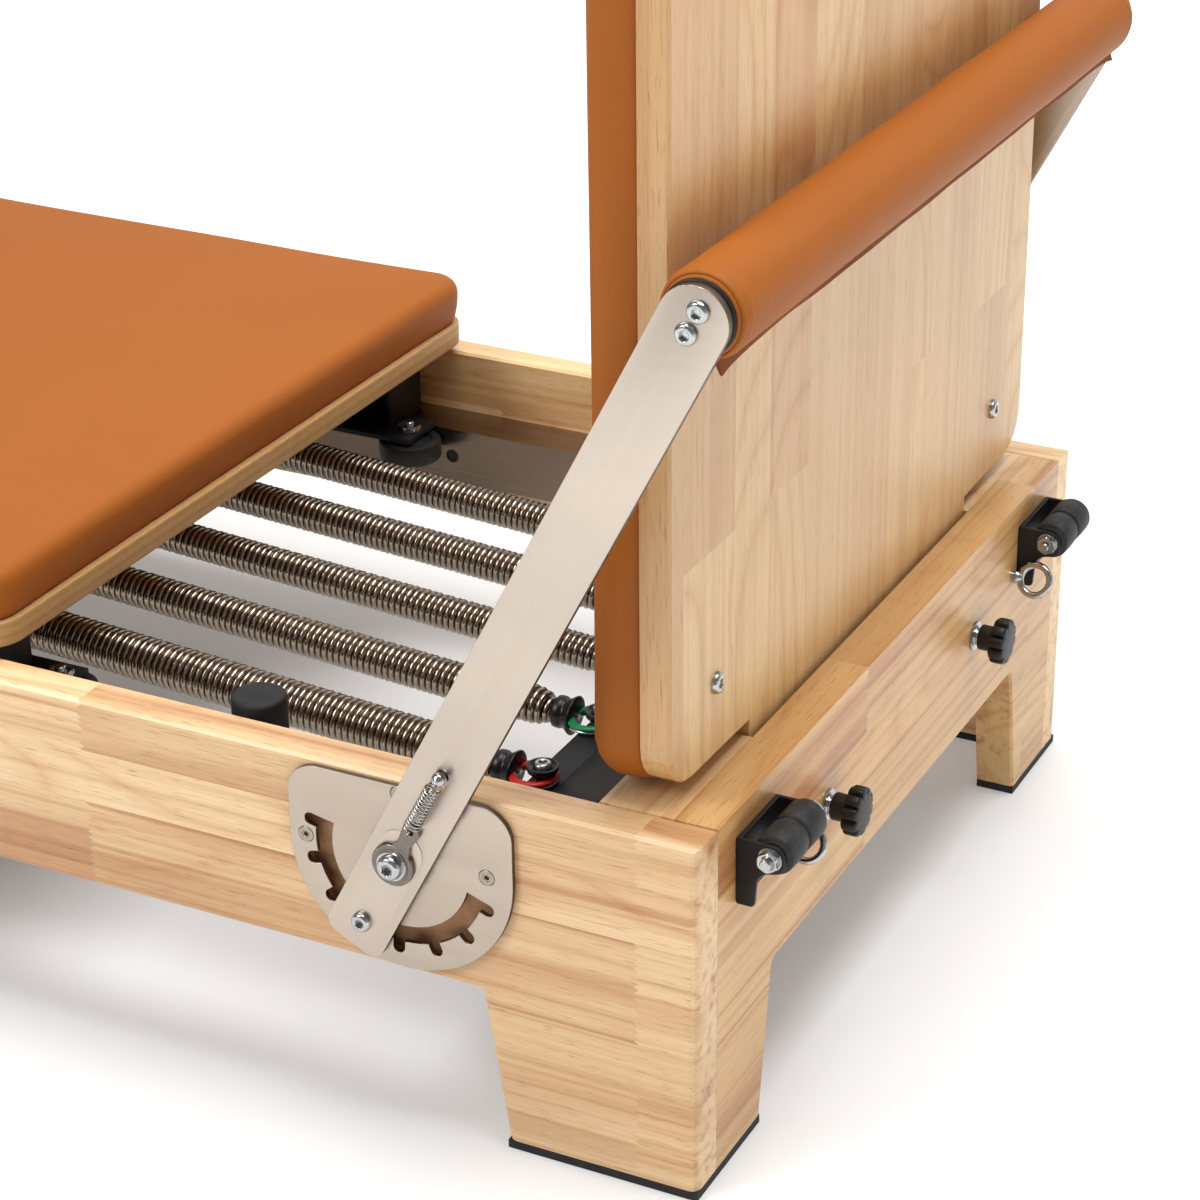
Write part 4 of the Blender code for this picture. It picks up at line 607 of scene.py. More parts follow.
def pad_form(name, place, half, thick, corner, edge, crown, back_inset=0.002, sway=0.0015, seed=0.0):
    """Tight cushion: drawn in at its back, softly bowed sides, a rounded rim and a crowned top.
    place turns (across, along, height) into a point; half holds the half sizes."""
    def ring(inset, height):
        radius = max(corner - inset, 0.0012)
        a, b = half[0] - inset - radius, half[1] - inset - radius
        points = []
        centres = ((a, b), (-a, b), (-a, -b), (a, -b))
        for index, centre in enumerate(centres):
            start, following = QUARTER * index, (index + 1) % 4
            points += arc(centre, radius, start, start + QUARTER, 10)
            here = points[-1]
            there = arc(centres[following], radius, QUARTER * following, QUARTER * following + 1, 1)[0]
            normal = Vector((math.cos(start + QUARTER), math.sin(start + QUARTER)))
            for step in range(1, 14):
                share = step / 14
                bow = sway * (1 - (2 * share - 1) ** 4)
                points.append((here[0] + (there[0] - here[0]) * share - normal.x * bow,
                               here[1] + (there[1] - here[1]) * share - normal.y * bow))
        return [(u, v, height) for u, v in points]
    layers = [ring(back_inset + 0.004, 0.0), ring(back_inset, 0.0008)]
    layers += [ring(back_inset * (1 - share) ** 2, (thick - edge) * share) for share in (0.15, 0.35, 0.6, 0.8)]
    for step in range(7):
        turn = QUARTER * step / 6
        layers.append(ring(edge * (1 - math.cos(turn)), thick - edge + edge * math.sin(turn)))
    deepest = min(half) - 0.004
    for step in range(1, 17):
        inset = edge + (deepest - edge) * (step / 16) ** 1.4
        layers.append(ring(inset, thick + crown * (1 - math.exp(-(inset - edge) / 0.055))))
    bm = bmesh.new()
    loops = []
    for layer in layers:
        loop = []
        for u, v, height in layer:
            ripple = noise.noise(Vector((u * 9 + seed, v * 9, height * 20))) * 0.0007
            loop.append(bm.verts.new(place(u, v, max(height + (ripple if height > thick * 0.5 else 0.0), 0.0))))
        loops.append(loop)
    skin(bm, loops, "capped")
    return made(name, bm, "coated_leather", 60.0)


def upholster(name, node, body, corner, edge, crown, fill, upright=False, sag=0.0, seed=0.0, **shape):
    """Pads a node's box: from its bottom up or, where it stands upright, from its +X side towards -X."""
    low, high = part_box(node)
    low.z -= sag
    middle = (low + high) / 2

    def place(u, v, height):
        if upright:
            return Vector((high.x - height, middle.y + u, middle.z + v))
        return Vector((middle.x + u, middle.y + v, low.z + height))
    sizes = [b - a for a, b in zip(low, high)]
    thick, wide, long = sizes if upright else (sizes[2], sizes[0], sizes[1])
    pad = pad_form(name, place, (wide / 2, long / 2), thick - crown, corner, edge, crown, seed=seed + middle.y, **shape)
    put(pad, body, "leather", node)


class REFORMER_OT_jump_board(bpy.types.Operator):
    """Upholsters the jump board and gives it its bolts"""
    bl_idname = "reformer.jump_board"
    bl_label = "Jump board"

    def execute(self, context):
        # The cushion hangs a little below its board, close over the plank
        upholster("jump_board_cushion", "jump_board_pad", "jump_board", 0.040, 0.018,
                  context.scene.reformer_leather.crown, 0.9, upright=True, sag=PAD_SAG, seed=3.0, back_inset=0.003)
        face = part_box("jump_board")[1].x - 0.002
        reach, height = JUMP_BOLT_PLACE
        bolts = [button_bolt(Vector((face, side * reach, height)), X, 0.0074, 0.0040) for _, side in SIDES]
        put(joined("jump_board_bolts", bolts), "jump_board", "plate_steel")
        return {"FINISHED"}


class REFORMER_OT_carriage(bpy.types.Operator):
    """Builds the carriage's board, its cushion, the wheels and the bolts of the guide wheels"""
    bl_idname = "reformer.carriage"
    bl_label = "Carriage"

    def execute(self, context):
        crown = context.scene.reformer_leather.crown
        low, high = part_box("carriage_board")
        outline = rounded([(high.x, high.y, 0.028), (low.x, high.y, 0.028), (low.x, low.y, 0.028),
                           (high.x, low.y, 0.028)], 20)
        board = plate("carriage_plywood", [outline], Vector((0, 0, (low.z + high.z) / 2)), X, Y, high.z - low.z,
                      "plywood_edge", 0.0012)
        put(board, "carriage", "plywood", "carriage_board")
        upholster("carriage_cushion", "carriage_pad", "carriage", 0.028, 0.0115, crown, 0.9, seed=8.0,
                  back_inset=0.0042)
        for end in ("foot", "head"):
            for label, side in SIDES:
                self.wheels("_" + end + "_" + label, side)
        return {"FINISHED"}

    def wheels(self, suffix, side):
        centre, (_, half, radius) = extent("carriage_wheel" + suffix)
        lower = [(0.0055, -half), (radius * 0.55, -half), (radius * 0.6, -half + 0.0015),
                 (radius * 0.82, -half + 0.0015), (radius * 0.86, -half), (radius - 0.002, -half),
                 (radius - 0.0006, -half + 0.0007), (radius, -half + 0.002)]
        put(spun("rolling_wheel" + suffix, centre, Y * side, lower + flipped(lower), "wheel_rubber", 64),
            "wheel" + suffix, "wheel_rubber", "carriage_wheel" + suffix)
        centre, (radius, _, half) = extent("guide_wheel" + suffix)
        tread = [(radius - 0.003, -half), (radius - 0.0008, -half + 0.0008), (radius, -half + 0.003)]
        recess = [(radius * 0.72, half), (radius * 0.66, half - 0.002), (radius * 0.5, half - 0.002),
                  (radius * 0.46, half), (0.0055, half)]
        put(spun("side_wheel" + suffix, centre, Z, [(0.0055, -half)] + tread + flipped(tread) + recess,
                 "wheel_rubber", 64), "guide" + suffix, "wheel_rubber", "guide_wheel" + suffix)
        low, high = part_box("guide_wheel" + suffix)
        bolt = button_bolt(Vector((centre.x, centre.y, low.z - 0.0042)), -Z, 0.0085, 0.004)
        nut = hex_nut(Vector((centre.x, centre.y, high.z + GUIDE_NUT_LIFT)), Z, 0.0084, 0.0056, 0.0040)
        put(joined("side_wheel_bolt" + suffix, [bolt, nut]), "carriage", "plate_steel")


class REFORMER_OT_rests(bpy.types.Operator):
    """Upholsters the shoulder rests and the headrest"""
    bl_idname = "reformer.rests"
    bl_label = "Rests"

    def execute(self, context):
        crown = context.scene.reformer_leather.crown
        for node, body, corner, edge, rise in (("shoulder_rest_near", "carriage", 0.024, 0.012, 0.003),
                                               ("shoulder_rest_far", "carriage", 0.024, 0.012, 0.003),
                                               ("headrest", "headrest", 0.020, 0.010, crown)):
            upholster(node + "_cushion", node, body, corner, edge, rise, 0.85, seed=11.0, sway=0.001)
        return {"FINISHED"}


# Foot bar and latch

def arm_point(along, across, y):
    c, s = math.cos(ARM_ANGLE), math.sin(ARM_ANGLE)
    return spot(PIVOT_X + along * c - across * s, y, PIVOT_Z + along * s + across * c)


def arm_plate(name, outlines, y, thickness, finish, bevel, edge=None):
    """A plate in the arm's own frame: u along the arm, v across it, centred on y."""
    along = arm_point(1, 0, 0) - arm_point(0, 0, 0)
    across = arm_point(0, 1, 0) - arm_point(0, 0, 0)
    return plate(name, outlines, spot(PIVOT_X, y, PIVOT_Z), along, across, thickness, finish, bevel, edge)


class REFORMER_OT_foot_bar(bpy.types.Operator):
    """Builds the foot bar's arms, tube, leather roll, pivot links and return springs"""
    bl_idname = "reformer.foot_bar"
    bl_label = "Foot bar"

    def execute(self, context):
        for label, side in SIDES:
            self.arm(label, side)
            self.link(label, side)
            self.return_spring(label, side)
        self.bar()
        return {"FINISHED"}

    def arm(self, label, side):
        half = ARM_WIDTH / 2
        rim = (arc((ARM_LENGTH, 0), half, -QUARTER, QUARTER, 40)
               + rounded([(ARM_LENGTH, half, 0), (-ARM_TAIL, half, ARM_CORNER), (-ARM_TAIL, -half, ARM_CORNER),
                          (ARM_LENGTH, -half, 0)], 10)[1:-1])
        slot = capsule(0.0, 0.010, 0.0153, 24)
        window = capsule(0.0495, 0.0815, 0.0045, 12)
        # The arm's cut sides take the dark edge finish: oxide, and painted shade for the shadow gap between arm and
        # plate
        arm = arm_plate("foot_bar_strap_" + label, [rim, slot, window], side * (ARM_INNER + ARM_THICKNESS / 2),
                        ARM_THICKNESS, "ground_steel_arm", 0.0004, "cut_edge_oxide_and_painted_shade")
        put(arm, "foot_bar", "plate_steel", "foot_bar_arm_" + label)
        face = side * ARM_OUTER
        bolts = [button_bolt(arm_point(reach, 0, face), Y * side, 0.0071, 0.0042)
                 for reach in (ARM_LENGTH - 0.008, ARM_LENGTH + 0.008, LOCK_REACH)]
        dome = [(0.005 * math.cos(a), 0.0035 + 0.005 * math.sin(a))
                for a in (math.radians(t) for t in range(-20, 61, 10))]
        ball = bit(arm_point(BALL_REACH, 0, face), Y * side, [(0, -0.004), (0.0042, -0.004), (0.0042, 0.001)] + dome
                   + [(0.002, 0.0083), (0.0012, 0.0078), (0, 0.0078)], 40)
        put(joined("foot_bar_bolts_" + label, bolts + [ball]), "foot_bar", "plate_steel")
        pin = spun("lock_pin_" + label, arm_point(LOCK_REACH, 0, side * (HALF_WIDTH - 0.006)), Y * side,
                   [(0, 0), (0.0036, 0), (0.004, 0.0005), (0.004, 0.012), (0, 0.012)], "dark_zinc", 32)
        put(pin, "foot_bar", "plate_steel")

    def link(self, label, side):
        outer = side * (ARM_OUTER + 0.0003)
        bush = bit(spot(PIVOT_X, side * (PLATE_FACE + 0.0003), PIVOT_Z), Y * side,
                   [(0.0063, 0), (0.0149, 0), (0.0149, 0.0092), (0.0145, 0.0096), (0.0118, 0.0097), (0.0116, 0.0103),
                    (0.0108, 0.0104), (0.0063, 0.0104)], 64, "dark_zinc")
        flank = [(0.020, 0.0048), (0.0135, 0.0068), (0.011, 0.0085)]
        neck = arc((0.031, 0), 0.0062, -math.pi * 0.62, math.pi * 0.62, 24) + flank + flipped(flank)
        lug = arm_plate("part", [neck, circle((0.0312, 0), 0.0024, 20)], outer + side * 0.00125, 0.0025, "dark_zinc",
                        0.0004)
        put(joined("pivot_yoke_" + label, [bush, lug]), "pivot_links", "plate_steel", "pivot_link_" + label)
        # A disc darker than the plate behind the slot, painted shade in the slot's gaps
        washer = spun("painted_shade_washer_" + label, arm_point(0.004, 0, side * (PLATE_FACE + 0.0001)), Y * side,
                      [(0.0, 0), (0.0205, 0), (0.0205, 0.0007), (0, 0.0007)], "dark_zinc", 48)
        put(washer, "pivot_links", "plate_steel")
        cover = arm_plate("slot_cover_" + label, [capsule(0.0, 0.0105, 0.0162, 24), circle((0, 0), 0.0150, 48)],
                          side * (ARM_OUTER + 0.0002), 0.0003, "ground_steel_arm", 0.0001)
        put(cover, "pivot_links", "plate_steel")

    def return_spring(self, label, side):
        middle = side * (ARM_OUTER + 0.0056)
        start, end, radius, turns, sides = 0.038, 0.0745, 0.0052, 13, 14

        def at(run, out, across=0.0):
            return arm_point(run, across, middle + side * out)

        def hook(reach, radius, first, sweep, lift=0.0):
            for step in range(9):
                angle = math.pi * (first - sweep * step / 8)
                yield at(reach + radius * math.cos(angle), radius * math.sin(angle) - lift)
        points = list(hook(0.0335, 0.0026, 1.25, 1.0, 0.0004))
        total = turns * sides
        for step in range(total + 1):
            angle = math.tau * step / sides
            points.append(at(start + (end - start) * step / total, radius * math.cos(angle),
                             radius * math.sin(angle)))
        points += hook(HOOK_REACH, 0.0028, 1.0, 1.2)
        strung(wire("latch_spring_" + label, points, 0.00056, "fine_spring_wire", 1), "return_spring_" + label)

    def bar(self):
        centre = arm_point(ARM_LENGTH, 0, 0)
        end = ARM_INNER - 0.0003
        half = [(0.0, -end), (0.0222, -end), (0.0230, -end + 0.0006), (0.0230, -end + 0.003), (0.016, -end + 0.003)]
        put(spun("foot_bar_core", centre, Y, half + flipped(half), "black_powder_coat", 64), "foot_bar",
            "black_steel", "foot_bar_tube")
        _, (_, reach, radius) = extent("foot_bar_roll")

        def folds(height):
            """Radius of the sleeve at a height, with shallow ring folds that fade from its ends."""
            near_end = math.exp(-(reach - abs(height)) / 0.020)

            def at_angle(angle):
                ripple = math.sin(abs(height) * 780 + math.sin(angle) * 0.9) * 0.00075
                wander = noise.noise(Vector((math.cos(angle) * 2, math.sin(angle) * 2, height * 12))) * 0.0005
                return radius + near_end * ripple + wander
            return at_angle
        face = [(0.0163, 0.0), (0.0175, 0.0), (0.0215, -0.0003), (0.0232, 0.0001), (0.0243, 0.0010),
                (0.0246, 0.0022), (0.0249, 0.0017), (0.0259, 0.0019), (0.0267, 0.0030), (0.0270, 0.0043),
                (0.0270, 0.0054)]
        lower = [(r, -reach + h) for r, h in face]
        sleeve = []
        steps = 150
        for step in range(steps + 1):
            # Close rings near the ends, where the sleeve is gathered
            share = 2 * step / steps - 1
            height = math.copysign(abs(share) ** 0.72, share) * (reach - 0.0062)
            sleeve.append((folds(height), height))
        roll = spun("foot_bar_leather", centre, Y, lower + sleeve + flipped(lower), "coated_leather", 72, 50.0)
        put(roll, "foot_bar", "leather", "foot_bar_roll")
        self.seam(centre, reach, radius)

    def seam(self, centre, reach, radius):
        """The sleeve's two edges, sewn together in a thin lip that hangs under the roll."""
        down = Vector((0.34, 0, -0.94)).normalized()
        sideways = Vector((0.94, 0, 0.34))
        bm = bmesh.new()
        loops = []
        steps = 120
        for step in range(steps + 1):
            y = -reach + 0.0015 + (2 * reach - 0.003) * step / steps
            tall = (0.0045 + 0.0012 * noise.noise(Vector((y * 14, 0, 2)))
                    + 0.0035 * math.exp(-(reach - abs(y)) / 0.012))
            lean = 0.0012 * noise.noise(Vector((y * 10, 3, 0)))
            root, tip = down * (radius - 0.0015), down * (radius + tall) + sideways * lean
            loops.append([bm.verts.new(centre + Vector((0, y, 0)) + place + sideways * width)
                          for place, width in ((root, -0.0013), (tip, -0.0009), (tip, -0.0001),
                                               (tip - down * 0.001, 0.0), (tip, 0.0002), (tip, 0.001),
                                               (root, 0.0014))])
        skin(bm, loops, "capped")
        # The lip takes the darkened leather, painted shade under the roll
        put(made("foot_bar_leather_seam", bm, "coated_leather_painted_shade", 40.0), "foot_bar", "leather")


def notched_channel():
    """Outline of the curved channel and its notches about the pivot."""
    angles = [ARM_ANGLE + math.pi + NOTCH_STEP * k for k in range(NOTCHES[0], NOTCHES[1] + 1)]
    half = NOTCH_WIDTH / 2
    inner, outer = math.asin(half / CHANNEL[0]), math.asin(half / CHANNEL[1])
    tip = arc((NOTCH_REACH - half, 0), half, -QUARTER, QUARTER, 12)
    outline = []
    for i, angle in enumerate(angles):
        if i > 0:
            outline += arc((0, 0), CHANNEL[1], angles[i - 1] + outer, angle - outer, 8)
        c, s = math.cos(angle), math.sin(angle)
        outline += [(u * c - v * s, u * s + v * c) for u, v in tip]
    return outline + arc((0, 0), CHANNEL[0], angles[-1] + inner, angles[0] - inner, 40)


class REFORMER_OT_quadrants(bpy.types.Operator):
    """Builds the notched plates, their screws and pivot bolts, and the lining of the routed pockets"""
    bl_idname = "reformer.quadrants"
    bl_label = "Quadrant plates"

    def execute(self, context):
        rim = ([(-PLATE_RADIUS, 0.0)] + arc((0, 0), PLATE_RADIUS, -math.pi, 0.0, 60)[1:-1]
               + rounded([(PLATE_RADIUS, 0.0, 0), (PLATE_RADIUS, PLATE_TOP, PLATE_CORNER),
                          (-PLATE_RADIUS, PLATE_TOP, PLATE_CORNER), (-PLATE_RADIUS, 0.0, 0)], 16)[:-1])
        holes = [circle(place, 0.0056, 40) for place in SCREW_PLACES]
        first, last = (ARM_ANGLE + math.pi + NOTCH_STEP * (k + past) for k, past in zip(NOTCHES, (-0.33, 0.33)))

        def sector(wall, trim):
            low, high = POCKET[0] + wall, POCKET[1] - wall
            return (arc((0, 0), high, first + trim, last - trim, 60)
                    + arc((0, 0), low, last - trim, first + trim, 60))
        floor, bed = sector(0.0, 0.0), sector(POCKET_WALL, 0.02)
        for label, side in SIDES:
            shield = plate("notched_plate_" + label, [rim, notched_channel()] + holes,
                           spot(PIVOT_X, side * (PLATE_FACE - PLATE_THICKNESS / 2), PIVOT_Z), X, Z, PLATE_THICKNESS,
                           "ground_steel_plate", 0.0005, "cut_edge_oxide_and_painted_shade")
            put(shield, "foot_frame", "plate_steel", "quadrant_plate_" + label)
            lining = [plate("part", outlines, spot(PIVOT_X, side * (HALF_WIDTH - depth), PIVOT_Z), X, Z, thick,
                            "routed_wood", 0.0001)
                      for outlines, depth, thick in (([floor], 0.0074, 0.0008), ([floor, bed], 0.0036, 0.0064))]
            put(joined("routed_pocket_" + label, lining), "foot_frame", "rubberwood")
            screws = [sunk_screw(spot(PIVOT_X + u, side * PLATE_FACE, PIVOT_Z + v), Y * side, 0.0054, "dull_nickel")
                      for u, v in SCREW_PLACES]
            put(joined("plate_screws_" + label, screws), "foot_frame", "plate_steel")
            start = ARM_OUTER + 0.0031
            pivot = button_bolt(spot(PIVOT_X, side * (start + 0.0012), PIVOT_Z), Y * side, 0.0088, 0.0056, 0.0012)
            shank = bit(spot(PIVOT_X, side * (PLATE_FACE - 0.002), PIVOT_Z), Y * side,
                        [(0, 0), (0.006, 0), (0.006, 0.0125), (0.0104, 0.0126), (0.0106, 0.0130), (0.0102, 0.0137),
                         (0, 0.0137)])
            put(joined("pivot_bolt_" + label, [shank, pivot]), "foot_frame", "plate_steel")
        return {"FINISHED"}


# Springs

def spring_point(y, run, across=0.0, up=0.0):
    slope = Vector((-1, 0, SPRING_SLOPE)).normalized()
    return spot(RING_X, y, RING_Z) + slope * run + Y * across + Vector((SPRING_SLOPE, 0, 1)).normalized() * up


def torus(name, centre, radius, wide, tall, lift, finish):
    """A flattened ring round Z."""
    bm = bmesh.new()
    loops = []
    for k in range(56):
        out = Vector((math.cos(math.tau * k / 56), math.sin(math.tau * k / 56), 0))
        loops.append([bm.verts.new(centre + out * (radius + wide * math.cos(math.tau * m / 14))
                                   + Z * (lift + tall * math.sin(math.tau * m / 14))) for m in range(14)])
    skin(bm, loops, "joined")
    return made(name, bm, finish, 80.0)


class REFORMER_OT_springs(bpy.types.Operator):
    """Winds the five main springs in full and gives them handles and coated rings"""
    bl_idname = "reformer.springs"
    bl_label = "Springs"

    def execute(self, context):
        settings = context.scene.reformer_springs
        handle = [(0, 0.0), (0.0124, 0.0), (0.0140, 0.0003), (0.0145, 0.0010), (0.0143, 0.0020), (0.0133, 0.0034),
                  (0.0120, 0.0052), (0.0112, 0.0066), (0.0109, 0.0078), (0.0112, 0.0090), (0.0117, 0.0100),
                  (0.0119, 0.0110), (0.0119, 0.0136), (0.0115, 0.0151), (0.0104, 0.0159), (0, 0.0161)]
        for index, (y, outer, coat) in enumerate(zip(SPRING_Y, SPRING_RADII, SPRING_COATS)):
            number = str(index + 1)
            self.coil(number, y, outer - settings.wire, settings)
            put(spun("spring_handle_" + number, spring_point(y, 0.0148), spring_point(y, 1) - spring_point(y, 0),
                     handle, "polished_black_plastic", 56, 60.0), "foot_frame", "black_plastic")
            centre = spot(RING_X - 0.0026, y, RING_Z)
            steel = torus("part", centre, 0.0150, 0.0027, 0.0017, -0.0015, "bright_zinc")
            shank = wire("part", [spring_point(y, run) for run in (0.0125, 0.020, 0.033, 0.0372)], 0.0022,
                         "bright_zinc", 2)
            put(joined("spring_loop_" + number, [steel, shank]), "foot_frame", "spring_steel")
            put(torus("spring_ring_" + number, centre, 0.0152, 0.0030, 0.0019, 0.0014, "dipped_coat_" + coat),
                "foot_frame", "black_plastic")
        return {"FINISHED"}

    def coil(self, number, y, radius, settings):
        sides = 18
        total = round((SPRING_END - SPRING_START) / settings.pitch) * sides
        points = []
        for step in range(total + 1):
            run = SPRING_START + (SPRING_END - SPRING_START) * step / total
            inside = min(run - SPRING_START, SPRING_END - run, DOME) / DOME
            reach = radius * (0.36 + 0.64 * math.sqrt(1 - (1 - inside) ** 2))
            angle = math.tau * step / sides
            points.append(spring_point(y, run, reach * math.cos(angle), reach * math.sin(angle)))
        strung(wire("main_spring_" + number, points, settings.wire, "spring_wire", 1), "spring_" + number)


class REFORMER_OT_spring_bar(bpy.types.Operator):
    """Folds the spring bar and sets its posts, caps and bolts"""
    bl_idname = "reformer.spring_bar"
    bl_label = "Spring bar"

    def execute(self, context):
        low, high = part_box("spring_bar")
        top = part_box("foot_plank")[1].z - PLANK_THICKNESS - CLEARANCE
        right, thick = high.x - FOOT, 0.003
        outline = rounded([(right, top, 0), (-0.098, top, 0.004), (-0.183, LIP_Z, 0.003), (-0.206, LIP_Z, 0.0008),
                           (-0.206, LIP_Z - thick, 0.0008), (-0.182, LIP_Z - thick, 0.005),
                           (-0.097, top - thick, 0.003), (right, top - thick, 0)], 5)
        bar = plate("folded_spring_bar", [outline], spot(0, 0, 0), X, Z, high.y - low.y, "black_powder_coat", 0.0006)
        put(bar, "foot_frame", "black_steel", "spring_bar")
        cap = [(0, -0.001), (0.005, -0.001), (0.005, 0.0072), (0.0088, 0.0076), (0.0106, 0.0094), (0.0114, 0.0126),
               (0.0112, 0.0138), (0.0100, 0.0142), (0.0090, 0.0136), (0.0080, 0.0128), (0, 0.0128)]
        bases = [spot(POST_X, y, LIP_Z) for y in SPRING_Y]
        put(joined("spring_post_caps", [spun("part", base, Z, cap, "polished_black_plastic", 48, 50.0)
                                        for base in bases]), "foot_frame", "black_plastic")
        put(joined("spring_post_bolts", [button_bolt(base + Z * 0.0130, Z, 0.0066, 0.0036) for base in bases]),
            "foot_frame", "plate_steel")
        return {"FINISHED"}


class REFORMER_OT_track_fittings(bpy.types.Operator):
    """Sets the rubber stoppers and the grommets on the tracks"""
    bl_idname = "reformer.track_fittings"
    bl_label = "Track fittings"

    def execute(self, context):
        stopper = [(0, -0.001), (0.0185, -0.001), (STOPPER_RADIUS, 0.0006), (STOPPER_RADIUS, STOPPER_RIM)]
        for step in range(1, 9):
            angle = QUARTER * step / 8
            stopper.append((STOPPER_RADIUS - 0.0030 * (1 - math.cos(angle)), STOPPER_RIM + 0.0032 * math.sin(angle)))
        stopper += [(0.009, 0.0588), (0, 0.0590)]
        grommet = [(0, -0.0023), (0.0059, -0.0023), (0.0059, -0.0002), (0.0051, -0.0002), (0.0047, -0.0016),
                   (0, -0.0017)]
        for label, side in SIDES:
            base = spot(STOPPER_PLACE[0], side * (TRACK_Y + HALF_WIDTH - RAIL_THICKNESS) / 2, STOPPER_PLACE[1])
            put(spun("track_stopper_" + label, base, Z, stopper, "black_rubber", 48, 50.0), "foot_frame",
                "foot_rubber")
            hole = spot(GROMMET_PLACE[0], side * TRACK_Y, GROMMET_PLACE[1])
            put(spun("track_grommet_" + label, hole, -Y * side, grommet, "moulded_black_plastic", 40),
                "foot_frame", "black_plastic")
        return {"FINISHED"}


# End fittings

class REFORMER_OT_end_fittings(bpy.types.Operator):
    """Builds the transport rollers, clamp knobs and eye bolts on the foot end"""
    bl_idname = "reformer.end_fittings"
    bl_label = "End fittings"

    def execute(self, context):
        for label, side in SIDES:
            self.roller(label, side)
            self.knob(label, side)
            self.eye(label, side)
        return {"FINISHED"}

    def roller(self, label, side):
        centre, (_, half, radius) = extent("transport_roller_" + label)
        rings = [(0.0043, -half), (radius - 0.004, -half), (radius - 0.0035, -half + 0.0006)]
        for start, end in ((-half + 0.0008, -0.0012), (0.0012, half - 0.0008)):
            rings += [(radius - 0.0022, start), (radius - 0.0006, start + 0.0008), (radius, start + 0.0024),
                      (radius + 0.0002, (start + end) / 2), (radius, end - 0.0024), (radius - 0.0006, end - 0.0008),
                      (radius - 0.0022, end), (radius - 0.004, end)]
        rings += [(radius - 0.004, half), (0.0043, half)]
        put(spun("rubber_roller_" + label, centre, Y, rings, "worn_rubber", 56, 40.0), "roller_" + label,
            "wheel_rubber", "transport_roller_" + label)
        reach, thick, low, high = BRACKET_REACH, BRACKET_THICKNESS, BRACKET_LOW, BRACKET_HIGH
        cheek = rounded([(0.0003, low, 0.002), (0.0130, low, 0.003), (0.0150, 0.2185, 0.010),
                         (0.0335, 0.2225, 0.008), (0.0335, high, 0.009), (0.0003, high, 0.0005)], 10)
        wing = reach - 0.0002
        back = rounded([(-wing, low, 0.003), (wing, low, 0.003), (wing, high, 0.003), (-wing, high, 0.003)], 8)
        middle = side * BRACKET_Y
        parts = [plate("part", [cheek], spot(0, middle + way * (reach - thick / 2), 0), X, Z, thick,
                       "black_powder_coat", 0.0006) for way in (-1, 1)]
        parts.append(plate("part", [back], spot(0.0018, middle, 0), Y, Z, thick, "black_powder_coat", 0.0006))
        put(joined("roller_cradle_" + label, parts), "foot_frame", "black_steel", "roller_bracket_" + label)
        axle = Vector((centre.x, middle, centre.z))
        washer = [(0, 0), (0.0078, 0), (0.0080, 0.0003), (0.0080, 0.0011), (0, 0.0011)]
        bits = []
        for way, height, bolt in ((side, 0.0056, 0.0038), (-side, 0.0048, 0.0030)):
            bits += [bit(axle + Y * way * reach, Y * way, washer, 40),
                     hex_nut(axle + Y * way * reach + Y * way * 0.0011, Y * way, 0.0063, height, bolt)]
        bits.append(bit(axle, Y, [(0, -reach), (0.0038, -reach), (0.0038, reach), (0, reach)], 24))
        put(joined("roller_bolt_" + label, bits), "foot_frame", "plate_steel")

    def knob(self, label, side):
        centre = spot(0, side * KNOB_PLACE[0], KNOB_PLACE[1])

        def star(share, depth=1.0):
            def at_angle(angle):
                turn = math.tau / KNOB_LOBES
                off = abs((angle + turn / 2) % turn - turn / 2) / turn
                return share * (KNOB_RADIUS - 0.0031 * depth * math.exp(-(off / 0.14) ** 2))
            return at_angle
        head = [(star(0.84), 0.0002), (star(0.95), 0.0008), (star(1.0), 0.0020), (star(1.0), 0.0092),
                (star(0.97), 0.0106), (star(0.92, 0.9), 0.0113), (star(0.74, 0.35), 0.0119), (0.007, 0.0123),
                (0, 0.0124)]
        rings = ([(0, 0.0048), (0.0090, 0.0048), (0.0096, 0.0058), (0.0094, KNOB_HEAD)]
                 + [(radius, KNOB_HEAD + height) for radius, height in head])
        put(spun("star_knob_" + label, centre, X, rings, "moulded_black_plastic", 128, 40.0), "knob_" + label,
            "black_plastic", "clamp_knob_" + label)
        stud = [bit(centre, X, [(0, -0.0325), (0.0038, -0.0325), (0.004, -0.032), (0.004, 0.0023), (0.0062, 0.0024),
                                (0.0062, 0.0049), (0, 0.0049)], 32),
                bit(centre, X, [(0, 0.0003), (0.0108, 0.0003), (0.0110, 0.0006), (0.0110, 0.0014), (0.0106, 0.0017),
                                (0.0072, 0.0017), (0.0070, 0.0023), (0, 0.0023)])]
        put(joined("knob_stud_" + label, stud), "knob_" + label, "plate_steel")

    def eye(self, label, side):
        turn, radius, y, z = math.radians(25), 0.0114, side * EYE_PLACE[0], EYE_PLACE[1]
        centre = spot(0.0185, y, z)
        lift = Vector((0, math.sin(turn), math.cos(turn)))
        points = [centre + X * -radius * math.cos(a) + lift * radius * math.sin(a)
                  for a in (math.tau * k / 64 for k in range(64))]
        ring = wire("part", points, 0.00265, "bright_zinc", 3, True)
        shank = bit(spot(-0.004, y, z), X, [(0, 0), (0.0040, 0), (0.0040, 0.0065), (0.0050, 0.0075), (0.0050, 0.0088),
                                            (0.0038, 0.0108), (0.003, 0.0125), (0, 0.0125)], 32)
        put(joined("eye_bolt_" + label, [ring, shank]), "foot_frame", "plate_steel")


